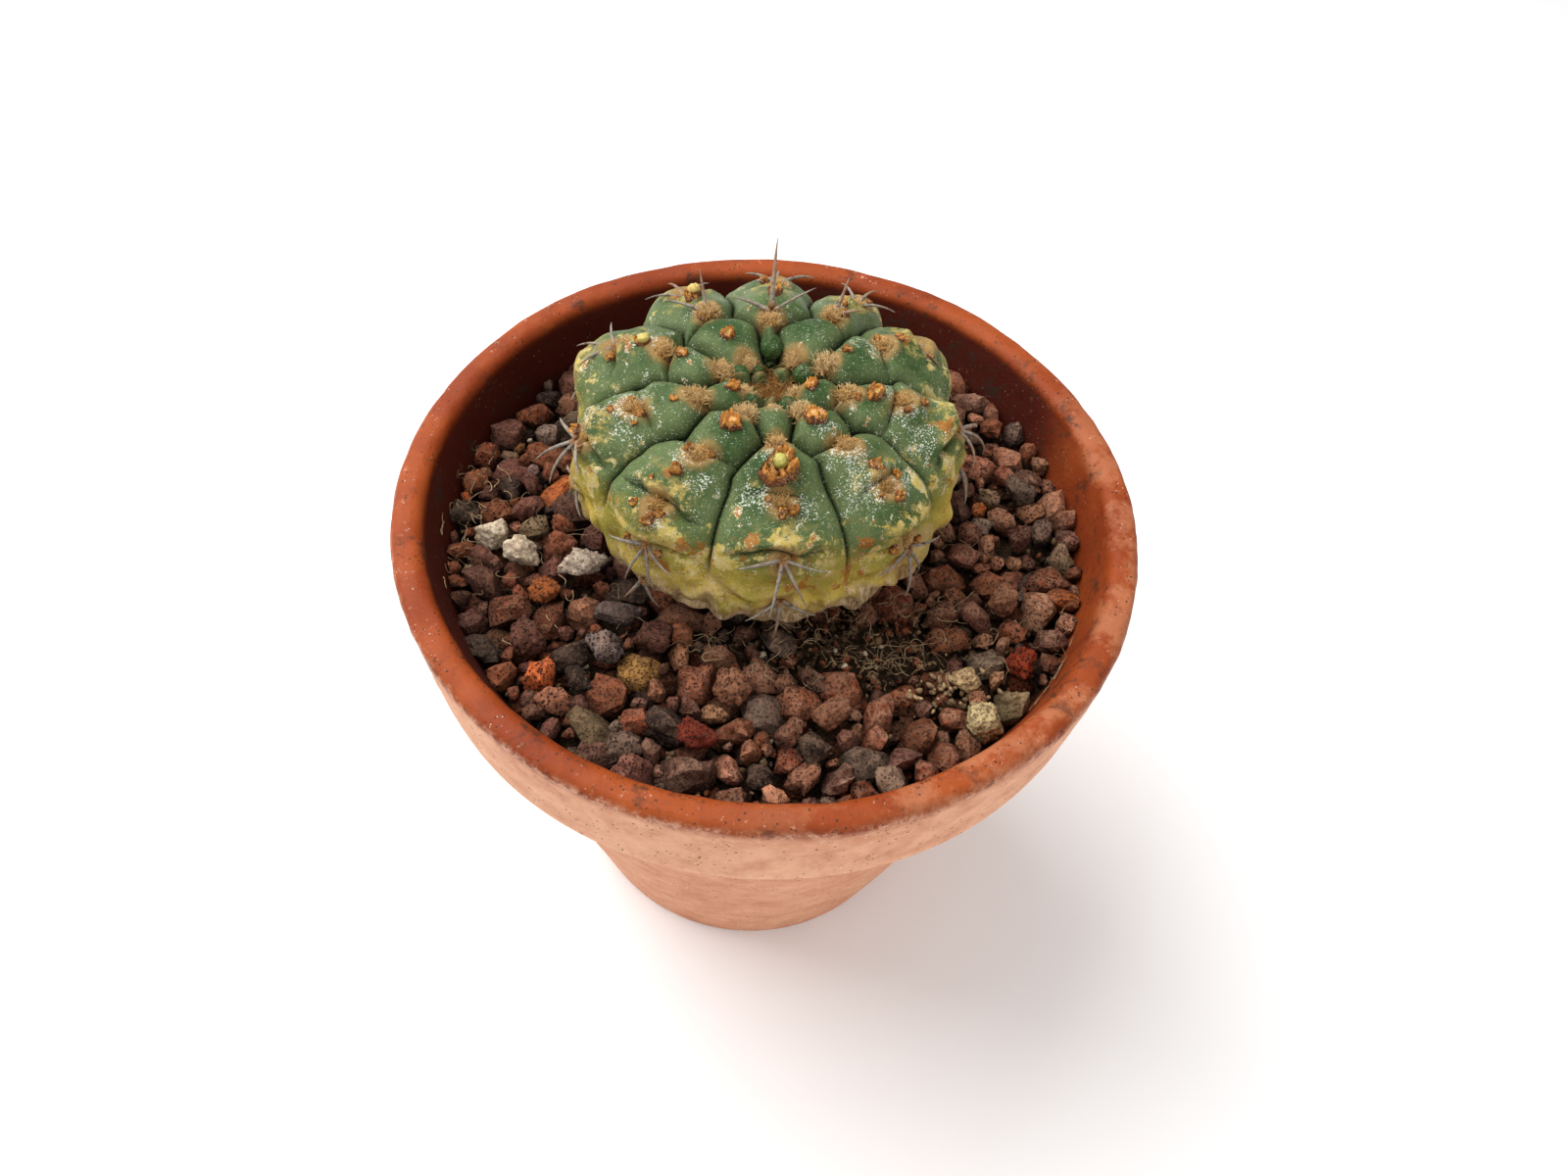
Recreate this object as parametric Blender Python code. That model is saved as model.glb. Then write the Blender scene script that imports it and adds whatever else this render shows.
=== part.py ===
"""A round, ten-ribbed cactus growing in a terracotta pot that is top-dressed with lava grit.

Units are metres, +Z is up, and the pot stands with its base at z = 0. The front of the plant
faces -Y. Every piece is one closed solid, and pieces that touch are CLEARANCE apart.
"""
import math

import bmesh
import bpy
import numpy as np
from mathutils import Vector

MM = 0.001
CLEARANCE = 0.35 * MM

# Terracotta pot
POT_HEIGHT = 115.0 * MM
LIP_RADIUS = 70.0 * MM
LIP_THICKNESS = 5.9 * MM
LIP_ROUNDING = 1.9 * MM
COLLAR_HEIGHT = 22.0 * MM
COLLAR_FOOT_RADIUS = 68.4 * MM
COLLAR_STEP = 4.4 * MM
BASE_RADIUS = 41.0 * MM
FLOOR_THICKNESS = 7.0 * MM
FLOOR_RADIUS = 35.5 * MM
DRAIN_RADIUS = 6.0 * MM
POT_SEGMENTS = 72

# Fill
GRAVEL_DROP = 12.0 * MM
GRAVEL_DEPTH = 9.0 * MM
FILL_SEGMENTS = 48

# Cactus stem
STEM_CENTRE = (-1.4 * MM, 6.0 * MM)
STEM_RADIUS = 36.4 * MM
STEM_RISE = 17.0 * MM
STEM_DROP = 19.0 * MM
STEM_FOOT_RADIUS = 20.0 * MM
SKIRT_SHARE = 0.85
CROWN_DIP = 3.2 * MM
CROWN_RADIUS = 9.0 * MM
FURROW_DEPTH = 2.6 * MM
CHIN_HEIGHT = 1.0 * MM
NOTCH_DEPTH = 1.1 * MM
TUBERCLE_PITCH = 10.2 * MM
RIB_ANGLES = (7, 46, 87, 122, 150, 181, 215, 253, 289, 327)
RIB_NAMES = ("front", "front_right", "right", "right_back", "back_right",
             "back", "back_left", "left_back", "left", "front_left")
COLUMNS_PER_RIB = 10
STEM_ROWS = 34

# Spine tufts
CUSHION_RADIUS = 1.7 * MM
CUSHION_HEIGHT = 1.1 * MM
CUSHION_SIDES = 10
SPINE_RADIUS = 0.36 * MM
SPINE_STEPS = 5

TERRACOTTA = (0.48, 0.14, 0.055, 1)
SOIL = (0.05, 0.03, 0.018, 1)
GRIT = (0.16, 0.065, 0.045, 1)
STEM_GREEN = (0.09, 0.17, 0.09, 1)
SPINE_GREY = (0.32, 0.28, 0.24, 1)
BUD_OLIVE = (0.42, 0.30, 0.07, 1)
STONE_COLOURS = {
    "cream": (0.62, 0.52, 0.38, 1),
    "rust": (0.42, 0.13, 0.04, 1),
    "grey": (0.17, 0.15, 0.15, 1),
    "purple": (0.20, 0.10, 0.10, 1),
    "red": (0.30, 0.10, 0.06, 1),
}


def new_object(name, vertices, faces, colour, roughness, smooth=True):
    """Make one named object with its own Principled material."""
    mesh = bpy.data.meshes.new(name)
    mesh.from_pydata([tuple(v) for v in vertices], [], [tuple(f) for f in faces])
    work = bmesh.new()
    work.from_mesh(mesh)
    bmesh.ops.recalc_face_normals(work, faces=work.faces)
    work.to_mesh(mesh)
    work.free()
    mesh.polygons.foreach_set("use_smooth", [smooth] * len(mesh.polygons))
    obj = bpy.data.objects.new(name, mesh)
    bpy.context.scene.collection.objects.link(obj)
    material = bpy.data.materials.new(name)
    material.use_nodes = True
    shader = material.node_tree.nodes["Principled BSDF"]
    shader.inputs["Base Color"].default_value = colour
    shader.inputs["Roughness"].default_value = roughness
    shader.inputs["Metallic"].default_value = 0.0
    mesh.materials.append(material)
    return obj


def revolve_ring(name, profile, segments, colour, roughness):
    """Turn a closed profile of (radius, height) points, clear of the axis, once round Z."""
    vertices, faces = [], []
    count = len(profile)
    for step in range(segments):
        angle = 2 * math.pi * step / segments
        vertices += [(r * math.cos(angle), r * math.sin(angle), z) for r, z in profile]
    for step in range(segments):
        here, there = step * count, (step + 1) % segments * count
        for i in range(count):
            j = (i + 1) % count
            faces.append((here + i, there + i, there + j, here + j))
    return new_object(name, vertices, faces, colour, roughness)


def stack_of_rings(rings):
    """Skin equal rings of points, one above the other, and cap both ends."""
    count = len(rings[0])
    vertices = [v for ring in rings for v in ring]
    faces = [tuple(range(count))]
    for row in range(len(rings) - 1):
        here, there = row * count, (row + 1) * count
        for i in range(count):
            j = (i + 1) % count
            faces.append((here + i, here + j, there + j, there + i))
    faces.append(tuple(range((len(rings) - 1) * count, len(rings) * count))[::-1])
    return vertices, faces


# ---------------------------------------------------------------- pot
def inner_radius(z):
    """The pot's inside is one straight cone from the floor to the lip."""
    share = (z - FLOOR_THICKNESS) / (POT_HEIGHT - FLOOR_THICKNESS)
    return FLOOR_RADIUS + share * (LIP_RADIUS - LIP_THICKNESS - FLOOR_RADIUS)


def make_pot():
    collar_z = POT_HEIGHT - COLLAR_HEIGHT
    under_collar = COLLAR_FOOT_RADIUS - COLLAR_STEP
    edge = 1.2 * MM
    outside = [(DRAIN_RADIUS + edge, 0), (BASE_RADIUS - edge, 0), (BASE_RADIUS, edge)]
    for share in (0.25, 0.5, 0.75, 1.0):
        outside.append((BASE_RADIUS + share * (under_collar - BASE_RADIUS),
                        edge + share * (collar_z - edge)))
    outside.append((COLLAR_FOOT_RADIUS - edge / 2, collar_z))
    outside.append((COLLAR_FOOT_RADIUS, collar_z + edge / 2))
    lip_z = POT_HEIGHT - LIP_ROUNDING
    lip = []
    for degrees in (0, 22, 45, 67, 90):
        angle = math.radians(degrees)
        lip.append((LIP_RADIUS - LIP_ROUNDING * (1 - math.cos(angle)),
                    lip_z + LIP_ROUNDING * math.sin(angle)))
    inner_edge = LIP_RADIUS - LIP_THICKNESS
    for degrees in (90, 60, 30):
        angle = math.radians(degrees)
        lip.append((inner_edge + edge * (1 - math.cos(angle)),
                    POT_HEIGHT - edge + edge * math.sin(angle)))
    top = POT_HEIGHT - edge
    inside = [(inner_radius(z), z) for z in np.linspace(top, FLOOR_THICKNESS, 6)]
    inside += [(DRAIN_RADIUS + edge, FLOOR_THICKNESS), (DRAIN_RADIUS, FLOOR_THICKNESS - edge),
               (DRAIN_RADIUS, edge)]
    revolve_ring("clay_pot", outside + lip + inside, POT_SEGMENTS, TERRACOTTA, 0.75)


# ---------------------------------------------------------------- soil and gravel
GRAVEL_TOP = POT_HEIGHT - GRAVEL_DROP
SOIL_TOP = GRAVEL_TOP - GRAVEL_DEPTH


def make_fill(name, bottom, top, colour):
    """A layer that fills the pot's cone from one height to another."""
    rings = []
    for z in np.linspace(bottom, top, 4):
        radius = inner_radius(z) - 2 * CLEARANCE
        rings.append([(radius * math.cos(a), radius * math.sin(a), z)
                      for a in np.linspace(0, 2 * math.pi, FILL_SEGMENTS, endpoint=False)])
    vertices, faces = stack_of_rings(rings)
    new_object(name, vertices, faces, colour, 0.95, smooth=False)


# ---------------------------------------------------------------- stem
STEM_FOOT = GRAVEL_TOP + CLEARANCE
EQUATOR_Z = STEM_FOOT + STEM_DROP


def make_meridian():
    """Half of the stem's outline, crown to foot: distance along it, radius and height."""
    angle = np.linspace(math.pi / 2, 0, 160)
    power = 2 / 2.8
    radius = STEM_RADIUS * np.cos(angle) ** power
    height = EQUATOR_Z + STEM_RISE * np.sin(angle) ** power
    height -= CROWN_DIP * np.exp(-(radius / CROWN_RADIUS) ** 2)
    fall = np.linspace(0, 1, 80)[1:]
    low_radius = STEM_RADIUS - (STEM_RADIUS - STEM_FOOT_RADIUS) * fall ** 2.6
    low_height = EQUATOR_Z - STEM_DROP * fall
    radius = np.concatenate([radius, low_radius])
    height = np.concatenate([height, low_height])
    along = np.concatenate([[0], np.cumsum(np.hypot(np.diff(radius), np.diff(height)))])
    return along, radius, height


MERIDIAN = make_meridian()


def first_areole(rib):
    """Areoles on neighbouring ribs stand half a tubercle apart."""
    return (0.58 if rib % 2 == 0 else 1.04) * TUBERCLE_PITCH


def stem_relief(offset, along, rib):
    """Height of the skin above the plain outline.

    offset is 0 on the rib's crest and 1 in the furrow on either side of it.
    """
    fade = np.clip(along / (9 * MM), 0, 1) * np.clip((MERIDIAN[0][-1] - along) / (14 * MM), 0, 1)
    furrow = -FURROW_DEPTH * fade * offset ** 4
    phase = ((along - first_areole(rib)) / TUBERCLE_PITCH) % 1.0
    started = along > first_areole(rib) - 0.5 * TUBERCLE_PITCH
    crest = np.clip(1 - offset ** 2, 0, 1)
    chin = CHIN_HEIGHT * np.exp(-((phase - 0.45) / 0.22) ** 2)
    notch = -NOTCH_DEPTH * np.exp(-((phase - 0.88) / 0.07) ** 2)
    return furrow + np.where(started, (chin + notch) * crest * fade, 0)


def stem_point(degrees, along, lift=0.0):
    """A point on the plain outline, pushed out along its normal by lift."""
    radius = np.interp(along, MERIDIAN[0], MERIDIAN[1])
    height = np.interp(along, MERIDIAN[0], MERIDIAN[2])
    around = (along - 0.5 * MM, along + 0.5 * MM)
    slope_r = np.diff(np.interp(around, MERIDIAN[0], MERIDIAN[1]))[0]
    slope_z = np.diff(np.interp(around, MERIDIAN[0], MERIDIAN[2]))[0]
    length = np.hypot(slope_r, slope_z)
    radius = radius - slope_z / length * lift
    height = height + slope_r / length * lift
    angle = np.radians(degrees)
    return Vector((STEM_CENTRE[0] + radius * math.sin(angle),
                   STEM_CENTRE[1] - radius * math.cos(angle), height))


def make_stem():
    total = MERIDIAN[0][-1]
    columns = []
    for rib, angle in enumerate(RIB_ANGLES):
        before = (RIB_ANGLES[rib - 1] - angle) % 360 - 360
        after = (RIB_ANGLES[(rib + 1) % len(RIB_ANGLES)] - angle) % 360
        for share in np.linspace(-1, 1, COLUMNS_PER_RIB, endpoint=False):
            offset = math.sin(share * math.pi / 2)
            reach = -before if offset < 0 else after
            columns.append((angle + offset * reach / 2, abs(offset), rib))
    rings = []
    for share in np.linspace(0, 1, STEM_ROWS + 1)[1:]:
        along = total * share
        ring = []
        for degrees, offset, rib in columns:
            ring.append(stem_point(degrees, along, float(stem_relief(offset, along, rib))))
        if share == 1:
            for point in ring:
                point.z = STEM_FOOT
        rings.append(ring)
    vertices, faces = stack_of_rings(rings)
    new_object("cactus_stem", vertices, faces, STEM_GREEN, 0.55)


# ---------------------------------------------------------------- spine tufts and buds
def areole_frame(rib, along):
    """Root point on the crest, its outward normal, the way down the rib and the way to the right."""
    degrees = RIB_ANGLES[rib]
    relief = max(float(stem_relief(0.0, along + shift * MM, rib)) for shift in (-2, -1, 0, 1, 2))
    root = stem_point(degrees, along, relief + CLEARANCE)
    normal = (stem_point(degrees, along, 1 * MM) - stem_point(degrees, along)).normalized()
    down = (stem_point(degrees, along + 1 * MM) - stem_point(degrees, along - 1 * MM)).normalized()
    right = down.cross(normal).normalized()
    return root, normal, down, right


def make_tuft(name, rib, along, spines):
    """A low cushion; each spine grows out of one of its upper faces, so the tuft is one solid.

    A spine is (way, rise, length, droop): the way is in degrees from straight down the rib towards
    the right, the rise in degrees off the skin, and the droop bends the tip back along the skin.
    """
    root, normal, down, right = areole_frame(rib, along)
    sides = CUSHION_SIDES
    rings = []
    for radius, height in ((1, 0), (1, 0.45), (0.78, 0.8), (0.3, 1)):
        ring = []
        for i in range(sides):
            turn = 2 * math.pi * (i - 0.5) / sides
            across = down * math.cos(turn) + right * math.sin(turn)
            ring.append(root + across * radius * CUSHION_RADIUS + normal * height * CUSHION_HEIGHT)
        rings.append(ring)
    vertices, faces = stack_of_rings(rings)
    band = [face for face in faces[1:-1] if min(face) >= 2 * sides]
    grown = [band[round(spine[0] * sides / 360) % sides] for spine in spines]
    keep = [face for face in faces if face not in grown]
    for face, (way, rise, length, droop) in zip(grown, spines):
        turn, tilt = math.radians(way), math.radians(rise)
        flat = down * math.cos(turn) + right * math.sin(turn)
        middle = sum((vertices[i] for i in face), Vector()) / 4
        corners = [vertices[i] - middle for i in face]
        rim = list(face)
        centre = middle
        for step in range(1, SPINE_STEPS + 1):
            share = step / SPINE_STEPS
            lean = tilt - math.radians(droop) * share
            centre = centre + (flat * math.cos(lean) + normal * math.sin(lean)) * length / SPINE_STEPS
            way_out = (flat * math.cos(lean) + normal * math.sin(lean)).normalized()
            size = SPINE_RADIUS * (1 - 0.75 * share)
            ring = []
            for corner in corners:
                side = corner - way_out * corner.dot(way_out)
                ring.append(centre + side.normalized() * size)
            start = len(vertices)
            vertices += ring
            new_rim = list(range(start, start + 4))
            for i in range(4):
                j = (i + 1) % 4
                keep.append((rim[i], rim[j], new_rim[j], new_rim[i]))
            rim = new_rim
        keep.append(tuple(rim))
    new_object(name, vertices, keep, SPINE_GREY, 0.7, smooth=False)


FAN = [(-78, 26, 8.0 * MM, 30), (-22, 34, 9.5 * MM, 40), (20, 30, 10.5 * MM, 45), (80, 26, 8.0 * MM, 30)]
TRIO = [(-58, 30, 8.0 * MM, 35), (4, 38, 9.0 * MM, 40), (62, 30, 8.0 * MM, 35)]
PAIR = [(-26, 30, 7.5 * MM, 35), (28, 34, 8.5 * MM, 35)]
UPRIGHT = [(-82, 24, 8.0 * MM, 20), (4, 50, 13.0 * MM, 8), (80, 34, 9.5 * MM, 12)]
CURLED = [(-55, 22, 9.0 * MM, 20), (8, 64, 8.0 * MM, 6)]
BLADE = [(0, 60, 8.0 * MM, 8), (72, 32, 6.5 * MM, 20)]

TUFTS = (
    ("front_middle", 0, 37.0, FAN), ("front_low", 0, 47.0, TRIO),
    ("front_right_middle", 1, 43.0, FAN),
    ("right_middle", 2, 37.0, TRIO), ("right_low", 2, 46.5, TRIO),
    ("right_back_middle", 3, 32.0, TRIO), ("right_back_low", 3, 42.0, FAN),
    ("back_right_upper", 4, 21.8, BLADE), ("back_right_middle", 4, 31.5, TRIO),
    ("back_right_low", 4, 42.0, TRIO),
    ("back_upper", 5, 16.9, UPRIGHT), ("back_middle", 5, 32.0, TRIO), ("back_low", 5, 42.0, FAN),
    ("back_left_upper", 6, 21.0, CURLED), ("back_left_middle", 6, 32.5, TRIO),
    ("back_left_low", 6, 42.5, TRIO),
    ("left_back_middle", 7, 32.0, TRIO), ("left_back_low", 7, 42.0, FAN),
    ("left_middle", 8, 37.5, FAN), ("left_low", 8, 47.0, TRIO),
    ("front_left_middle", 9, 42.0, FAN), ("front_left_low", 9, 51.0, PAIR),
)

BUDS = (
    ("front_bud", 0, 22.5, 2.0), ("front_left_stub", 9, 15.8, 1.8), ("front_right_stub", 1, 14.2, 1.7),
    ("back_left_bud", 6, 27.0, 1.9), ("right_stub", 2, 19.6, 1.5), ("left_back_stub", 7, 24.0, 1.5),
)


def make_bud(name, rib, along, size):
    """A short egg that stands on the rib's crest."""
    root, normal, down, right = areole_frame(rib, along)
    radius = size * MM
    rings = []
    for share, height in ((0.62, 0.0), (0.95, 0.35), (1.0, 0.8), (0.75, 1.3), (0.3, 1.6)):
        ring = []
        for i in range(10):
            turn = 2 * math.pi * i / 10
            across = down * math.cos(turn) + right * math.sin(turn)
            ring.append(root + across * share * radius + normal * height * radius)
        rings.append(ring)
    vertices, faces = stack_of_rings(rings)
    new_object(name, vertices, faces, BUD_OLIVE, 0.6)


# ---------------------------------------------------------------- loose stones
STONES = (
    ("cream_pumice_far_left", "cream", -82, 0.73, (6.2, 5.6, 5.2)),
    ("cream_pumice_left", "cream", -76, 0.57, (6.8, 5.6, 5.4)),
    ("cream_pumice_by_stem", "cream", -68, 0.23, (9.4, 6.2, 5.8)),
    ("cream_pumice_front_right", "cream", 45, 0.90, (7.6, 6.6, 6.4)),
    ("tan_pumice_front_right", "cream", 49, 0.67, (5.6, 5.2, 4.8)),
    ("rust_stone_front_right", "rust", 59, 0.85, (7.0, 5.6, 5.2)),
    ("rust_stone_left", "rust", -64, 0.50, (6.6, 5.2, 5.0)),
    ("grey_stone_front_left", "grey", -41, 0.45, (6.8, 6.6, 6.0)),
    ("slate_stone_front_left", "grey", -48, 0.24, (9.2, 4.6, 4.4)),
    ("purple_stone_front_left", "purple", -34, 0.24, (6.2, 7.2, 6.6)),
    ("purple_stone_left", "purple", -53, 0.72, (7.8, 6.2, 5.6)),
    ("red_stone_front", "red", -6, 0.38, (7.2, 6.6, 6.2)),
    ("red_stone_front_left", "red", -11, 0.68, (7.6, 5.6, 5.4)),
    ("red_stone_front_right", "red", 18, 0.53, (6.8, 5.8, 5.6)),
    ("red_stone_right", "red", 73, 0.59, (6.8, 5.8, 5.4)),
    ("purple_stone_right", "purple", 92, 0.64, (6.0, 5.8, 5.2)),
    ("grey_stone_right", "grey", 105, 0.71, (6.4, 5.6, 5.2)),
    ("red_stone_back", "red", -159, 0.82, (6.6, 5.6, 5.2)),
)


def stem_edge(angle):
    """How far the stem's skirt reaches from the pot's axis, in one direction."""
    across, ahead = math.sin(angle), -math.cos(angle)
    centre = across * STEM_CENTRE[0] + ahead * STEM_CENTRE[1]
    spare = STEM_CENTRE[0] ** 2 + STEM_CENTRE[1] ** 2 - (SKIRT_SHARE * STEM_RADIUS) ** 2
    return centre + math.sqrt(centre ** 2 - spare)


def make_stone(name, kind, degrees, share, size, seed):
    """A crushed lump: a ball with flats knocked on it, resting on the gravel bed.

    share places its middle between the stem's skirt, 0, and the pot's wall, 1.
    """
    rng = np.random.default_rng(seed)
    work = bmesh.new()
    bmesh.ops.create_icosphere(work, subdivisions=2, radius=1.0)
    flats = rng.normal(size=(9, 3))
    flats /= np.linalg.norm(flats, axis=1)[:, None]
    depths = rng.uniform(0.72, 0.92, 9)
    for vertex in work.verts:
        point = np.array(vertex.co)
        for flat, depth in zip(flats, depths):
            over = point @ flat - depth
            if over > 0:
                point = point - flat * over
        vertex.co = point
    turn = rng.uniform(0, 2 * math.pi)
    scale = np.array(size) * 0.5 * MM
    points = np.array([v.co[:] for v in work.verts]) * scale
    c, s = math.cos(turn), math.sin(turn)
    points = points @ np.array(((c, s, 0), (-s, c, 0), (0, 0, 1)))
    points[:, 2] += GRAVEL_TOP + CLEARANCE - points[:, 2].min()
    angle = math.radians(degrees)
    middle = stem_edge(angle) + share * (inner_radius(GRAVEL_TOP) - stem_edge(angle))
    points[:, 0] += middle * math.sin(angle)
    points[:, 1] -= middle * math.cos(angle)
    faces = [tuple(v.index for v in face.verts) for face in work.faces]
    work.free()
    new_object(name, points, faces, STONE_COLOURS[kind], 0.95, smooth=False)


def main():
    for obj in list(bpy.data.objects):
        bpy.data.objects.remove(obj, do_unlink=True)
    bpy.context.scene.unit_settings.system = "METRIC"
    make_pot()
    make_fill("root_ball_soil", FLOOR_THICKNESS + CLEARANCE, SOIL_TOP, SOIL)
    make_fill("gravel_bed", SOIL_TOP + CLEARANCE, GRAVEL_TOP, GRIT)
    make_stem()
    for name, rib, along, spines in TUFTS:
        make_tuft("spine_tuft_" + name, rib, along * MM, spines)
    for name, rib, along, size in BUDS:
        make_bud(name, rib, along * MM, size)
    for seed, stone in enumerate(STONES):
        make_stone(*stone, seed)


main()
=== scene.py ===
"""Visual model of a round, ten-ribbed cactus in a terracotta pot top-dressed with lava grit.

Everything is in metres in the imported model's frame: +Z up, the pot's base at z = 0, and the front
of the plant towards -Y.
"""
import math

import bpy
import numpy as np
from mathutils import Matrix, Vector


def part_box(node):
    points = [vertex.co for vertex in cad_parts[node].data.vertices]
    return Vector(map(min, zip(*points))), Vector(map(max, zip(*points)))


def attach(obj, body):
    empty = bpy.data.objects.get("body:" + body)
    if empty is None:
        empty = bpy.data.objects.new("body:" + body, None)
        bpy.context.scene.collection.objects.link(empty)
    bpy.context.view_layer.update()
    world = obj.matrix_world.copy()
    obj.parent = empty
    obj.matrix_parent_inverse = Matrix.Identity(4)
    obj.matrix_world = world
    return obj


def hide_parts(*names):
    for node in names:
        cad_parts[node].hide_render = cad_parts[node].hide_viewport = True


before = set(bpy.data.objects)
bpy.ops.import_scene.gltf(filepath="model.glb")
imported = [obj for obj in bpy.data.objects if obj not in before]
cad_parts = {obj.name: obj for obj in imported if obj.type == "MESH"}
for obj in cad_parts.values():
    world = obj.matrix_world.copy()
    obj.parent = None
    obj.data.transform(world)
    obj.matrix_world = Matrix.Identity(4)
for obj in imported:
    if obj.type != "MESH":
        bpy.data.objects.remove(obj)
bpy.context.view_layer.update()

MM = 0.001


# ---------------------------------------------------------------- camera, light and floor
# A hand-held view from in front and above, with a wide lens close to the plant. The light is a
# big soft box overhead on the left and a white room; the floor is plain pale card.
LIP_RADIUS, _, RIM_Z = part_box("clay_pot")[1]
FLOOR_HALF = 3.0

camera = bpy.data.objects.new("camera", bpy.data.cameras.new("camera"))
camera.data.lens = 28.4
camera.data.sensor_width = 36.0
camera.data.clip_start = 0.01
camera.location = (0.0, -154.8 * MM, RIM_Z + 176.2 * MM)
look = Vector((3.6 * MM, -22.3 * MM, RIM_Z)) - camera.location
tilt = Matrix.Rotation(math.radians(5.58), 3, "Z")
camera.rotation_euler = (look.to_track_quat("-Z", "Y").to_matrix() @ tilt).to_euler()
bpy.context.scene.collection.objects.link(camera)
bpy.context.scene.camera = camera
bpy.context.scene.view_settings.view_transform = "Standard"

for name, place, size, watts in (("key_light", (-0.36, 0.20, 0.68), 0.75, 9.0),
                                 ("fill_light", (0.45, -0.50, 0.55), 0.70, 1.8)):
    light = bpy.data.objects.new(name, bpy.data.lights.new(name, "AREA"))
    light.data.size = size
    light.data.energy = watts
    light.location = place
    aim = Vector((0, 0, RIM_Z)) - light.location
    light.rotation_euler = aim.to_track_quat("-Z", "Y").to_euler()
    bpy.context.scene.collection.objects.link(light)

world = bpy.data.worlds.new("white_room")
world.use_nodes = True
world.node_tree.nodes["Background"].inputs["Color"].default_value = (1.0, 1.0, 1.0, 1)
world.node_tree.nodes["Background"].inputs["Strength"].default_value = 0.51
bpy.context.scene.world = world

corners = [(x * FLOOR_HALF, y * FLOOR_HALF, 0) for x, y in ((-1, -1), (1, -1), (1, 1), (-1, 1))]
floor_mesh = bpy.data.meshes.new("floor")
floor_mesh.from_pydata(corners, [], [(0, 1, 2, 3)])
floor = bpy.data.objects.new("floor", floor_mesh)
floor_paint = bpy.data.materials.new("pale_card")
floor_paint.use_nodes = True
card = floor_paint.node_tree.nodes["Principled BSDF"].inputs
card["Base Color"].default_value = (0.97, 0.97, 0.97, 1)
card["Roughness"].default_value = 0.9
floor_mesh.materials.append(floor_paint)
bpy.context.scene.collection.objects.link(floor)


# ---------------------------------------------------------------- terracotta pot
# A pressed clay pot, fired unglazed: a straight cone with a thick collar, a rounded lip and a
# drainage hole. The lip has a worn, waxy shine and a painted highlight at the right front; the outside
# is powdery with salts, with painted shade under the collar; the inside is damp, with painted shade
# on the wall turned from the light.
COLLAR_Z = RIM_Z - 22.0 * MM
COLLAR_RADIUS = 68.4 * MM
COLLAR_STEP = 4.4 * MM
LIP_INSIDE = LIP_RADIUS - 5.9 * MM
LIP_ROUNDING = 2.0 * MM
INNER_TOP = (LIP_INSIDE - 0.4 * MM, RIM_Z - 3.4 * MM)
INNER_FOOT = (35.5 * MM, 7.0 * MM)
DRAIN_RADIUS = 6.0 * MM
BASE_RADIUS = 41.0 * MM
POT_TURNS = 288

CLAY = (0.225, 0.034, 0.005)
CLAY_BRIGHT = (0.330, 0.064, 0.011)
CLAY_DAMP_SHADE = (0.050, 0.004, 0.001)
CLAY_OUTSIDE = (0.50, 0.175, 0.080)
CLAY_POWDER = (0.86, 0.49, 0.315)
CLAY_RUBBED_LIT = (0.50, 0.20, 0.095)
CLAY_SHADE = (0.16, 0.055, 0.026)
SALT_WHITE = (0.80, 0.74, 0.66)
DIRT = (0.028, 0.018, 0.010)


def xyz(*parts):
    """Points from their coordinates, each a number or an array."""
    return np.stack(np.broadcast_arrays(*parts), -1)


def round_turn(count):
    """count angles spread evenly over a full turn."""
    return np.linspace(0, 2 * math.pi, count, endpoint=False)


def unit(vectors):
    """Each vector divided by its length."""
    return vectors / (np.linalg.norm(vectors, axis=-1, keepdims=True) + 1e-12)


def grid_faces(rows, columns):
    """Quads of a grid stored row by row, with the last column joined to the first."""
    row = np.arange(rows - 1)[:, None] * columns
    here, ahead = row + np.arange(columns), row + np.roll(np.arange(columns), -1)
    return np.stack([here, ahead, ahead + columns, here + columns], -1).reshape(-1, 4)


def capped_faces(rows, columns):
    """Faces of rings stored row by row, with one flat face over the first and the last ring."""
    ends = np.arange(columns), np.arange((rows - 1) * columns, rows * columns)[::-1]
    return grid_faces(rows, columns)[:, ::-1].tolist() + [end.tolist() for end in ends]


def repeat_faces(faces, count, size):
    """The faces of one shape of size points, for count copies of it."""
    return [[index + copy * size for index in face] for copy in range(count) for face in faces]


def make_piece(name, points, faces, paint, slot, attributes, smooth=True, replaces=()):
    """One mesh piece from arrays of points and faces, riding on the root body.

    attributes maps a name to a number for the whole piece, or to one number or colour per point.
    """
    mesh = bpy.data.meshes.new(name)
    mesh.from_pydata(points.reshape(-1, 3).tolist(), [], faces)
    for key, values in attributes.items():
        kind, field = ("FLOAT", "value") if np.ndim(values) < 2 else ("FLOAT_COLOR", "color")
        if np.ndim(values) == 0:
            values = np.full(len(mesh.vertices), values)
        elif np.ndim(values) == 2:
            values = np.append(values, np.ones((len(values), 1)), 1)
        mesh.attributes.new(key, kind, "POINT").data.foreach_set(field, np.float32(values).ravel())
    mesh.polygons.foreach_set("use_smooth", np.full(len(mesh.polygons), smooth))
    mesh.materials.append(paint.material)
    piece = bpy.data.objects.new(name, mesh)
    bpy.context.scene.collection.objects.link(piece)
    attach(piece, "root")
    if replaces:
        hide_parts(*replaces)


def plane_waves(points, size, seed, count=14):
    """Soft noise from about -1 to 1: the mean of sine waves of random direction, size metres long."""
    rng = np.random.default_rng(seed)
    ways = rng.normal(size=(count, 3))
    ways *= (rng.uniform(0.6, 1.6, count) / np.linalg.norm(ways, axis=1))[:, None]
    phases = rng.uniform(0, 2 * math.pi, count)
    total = np.zeros(points.shape[:-1])
    for way, phase in zip(ways, phases):
        total += np.sin(points @ way * (2 * math.pi / size) + phase)
    return total * 1.6 / math.sqrt(count) / 1.4


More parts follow.
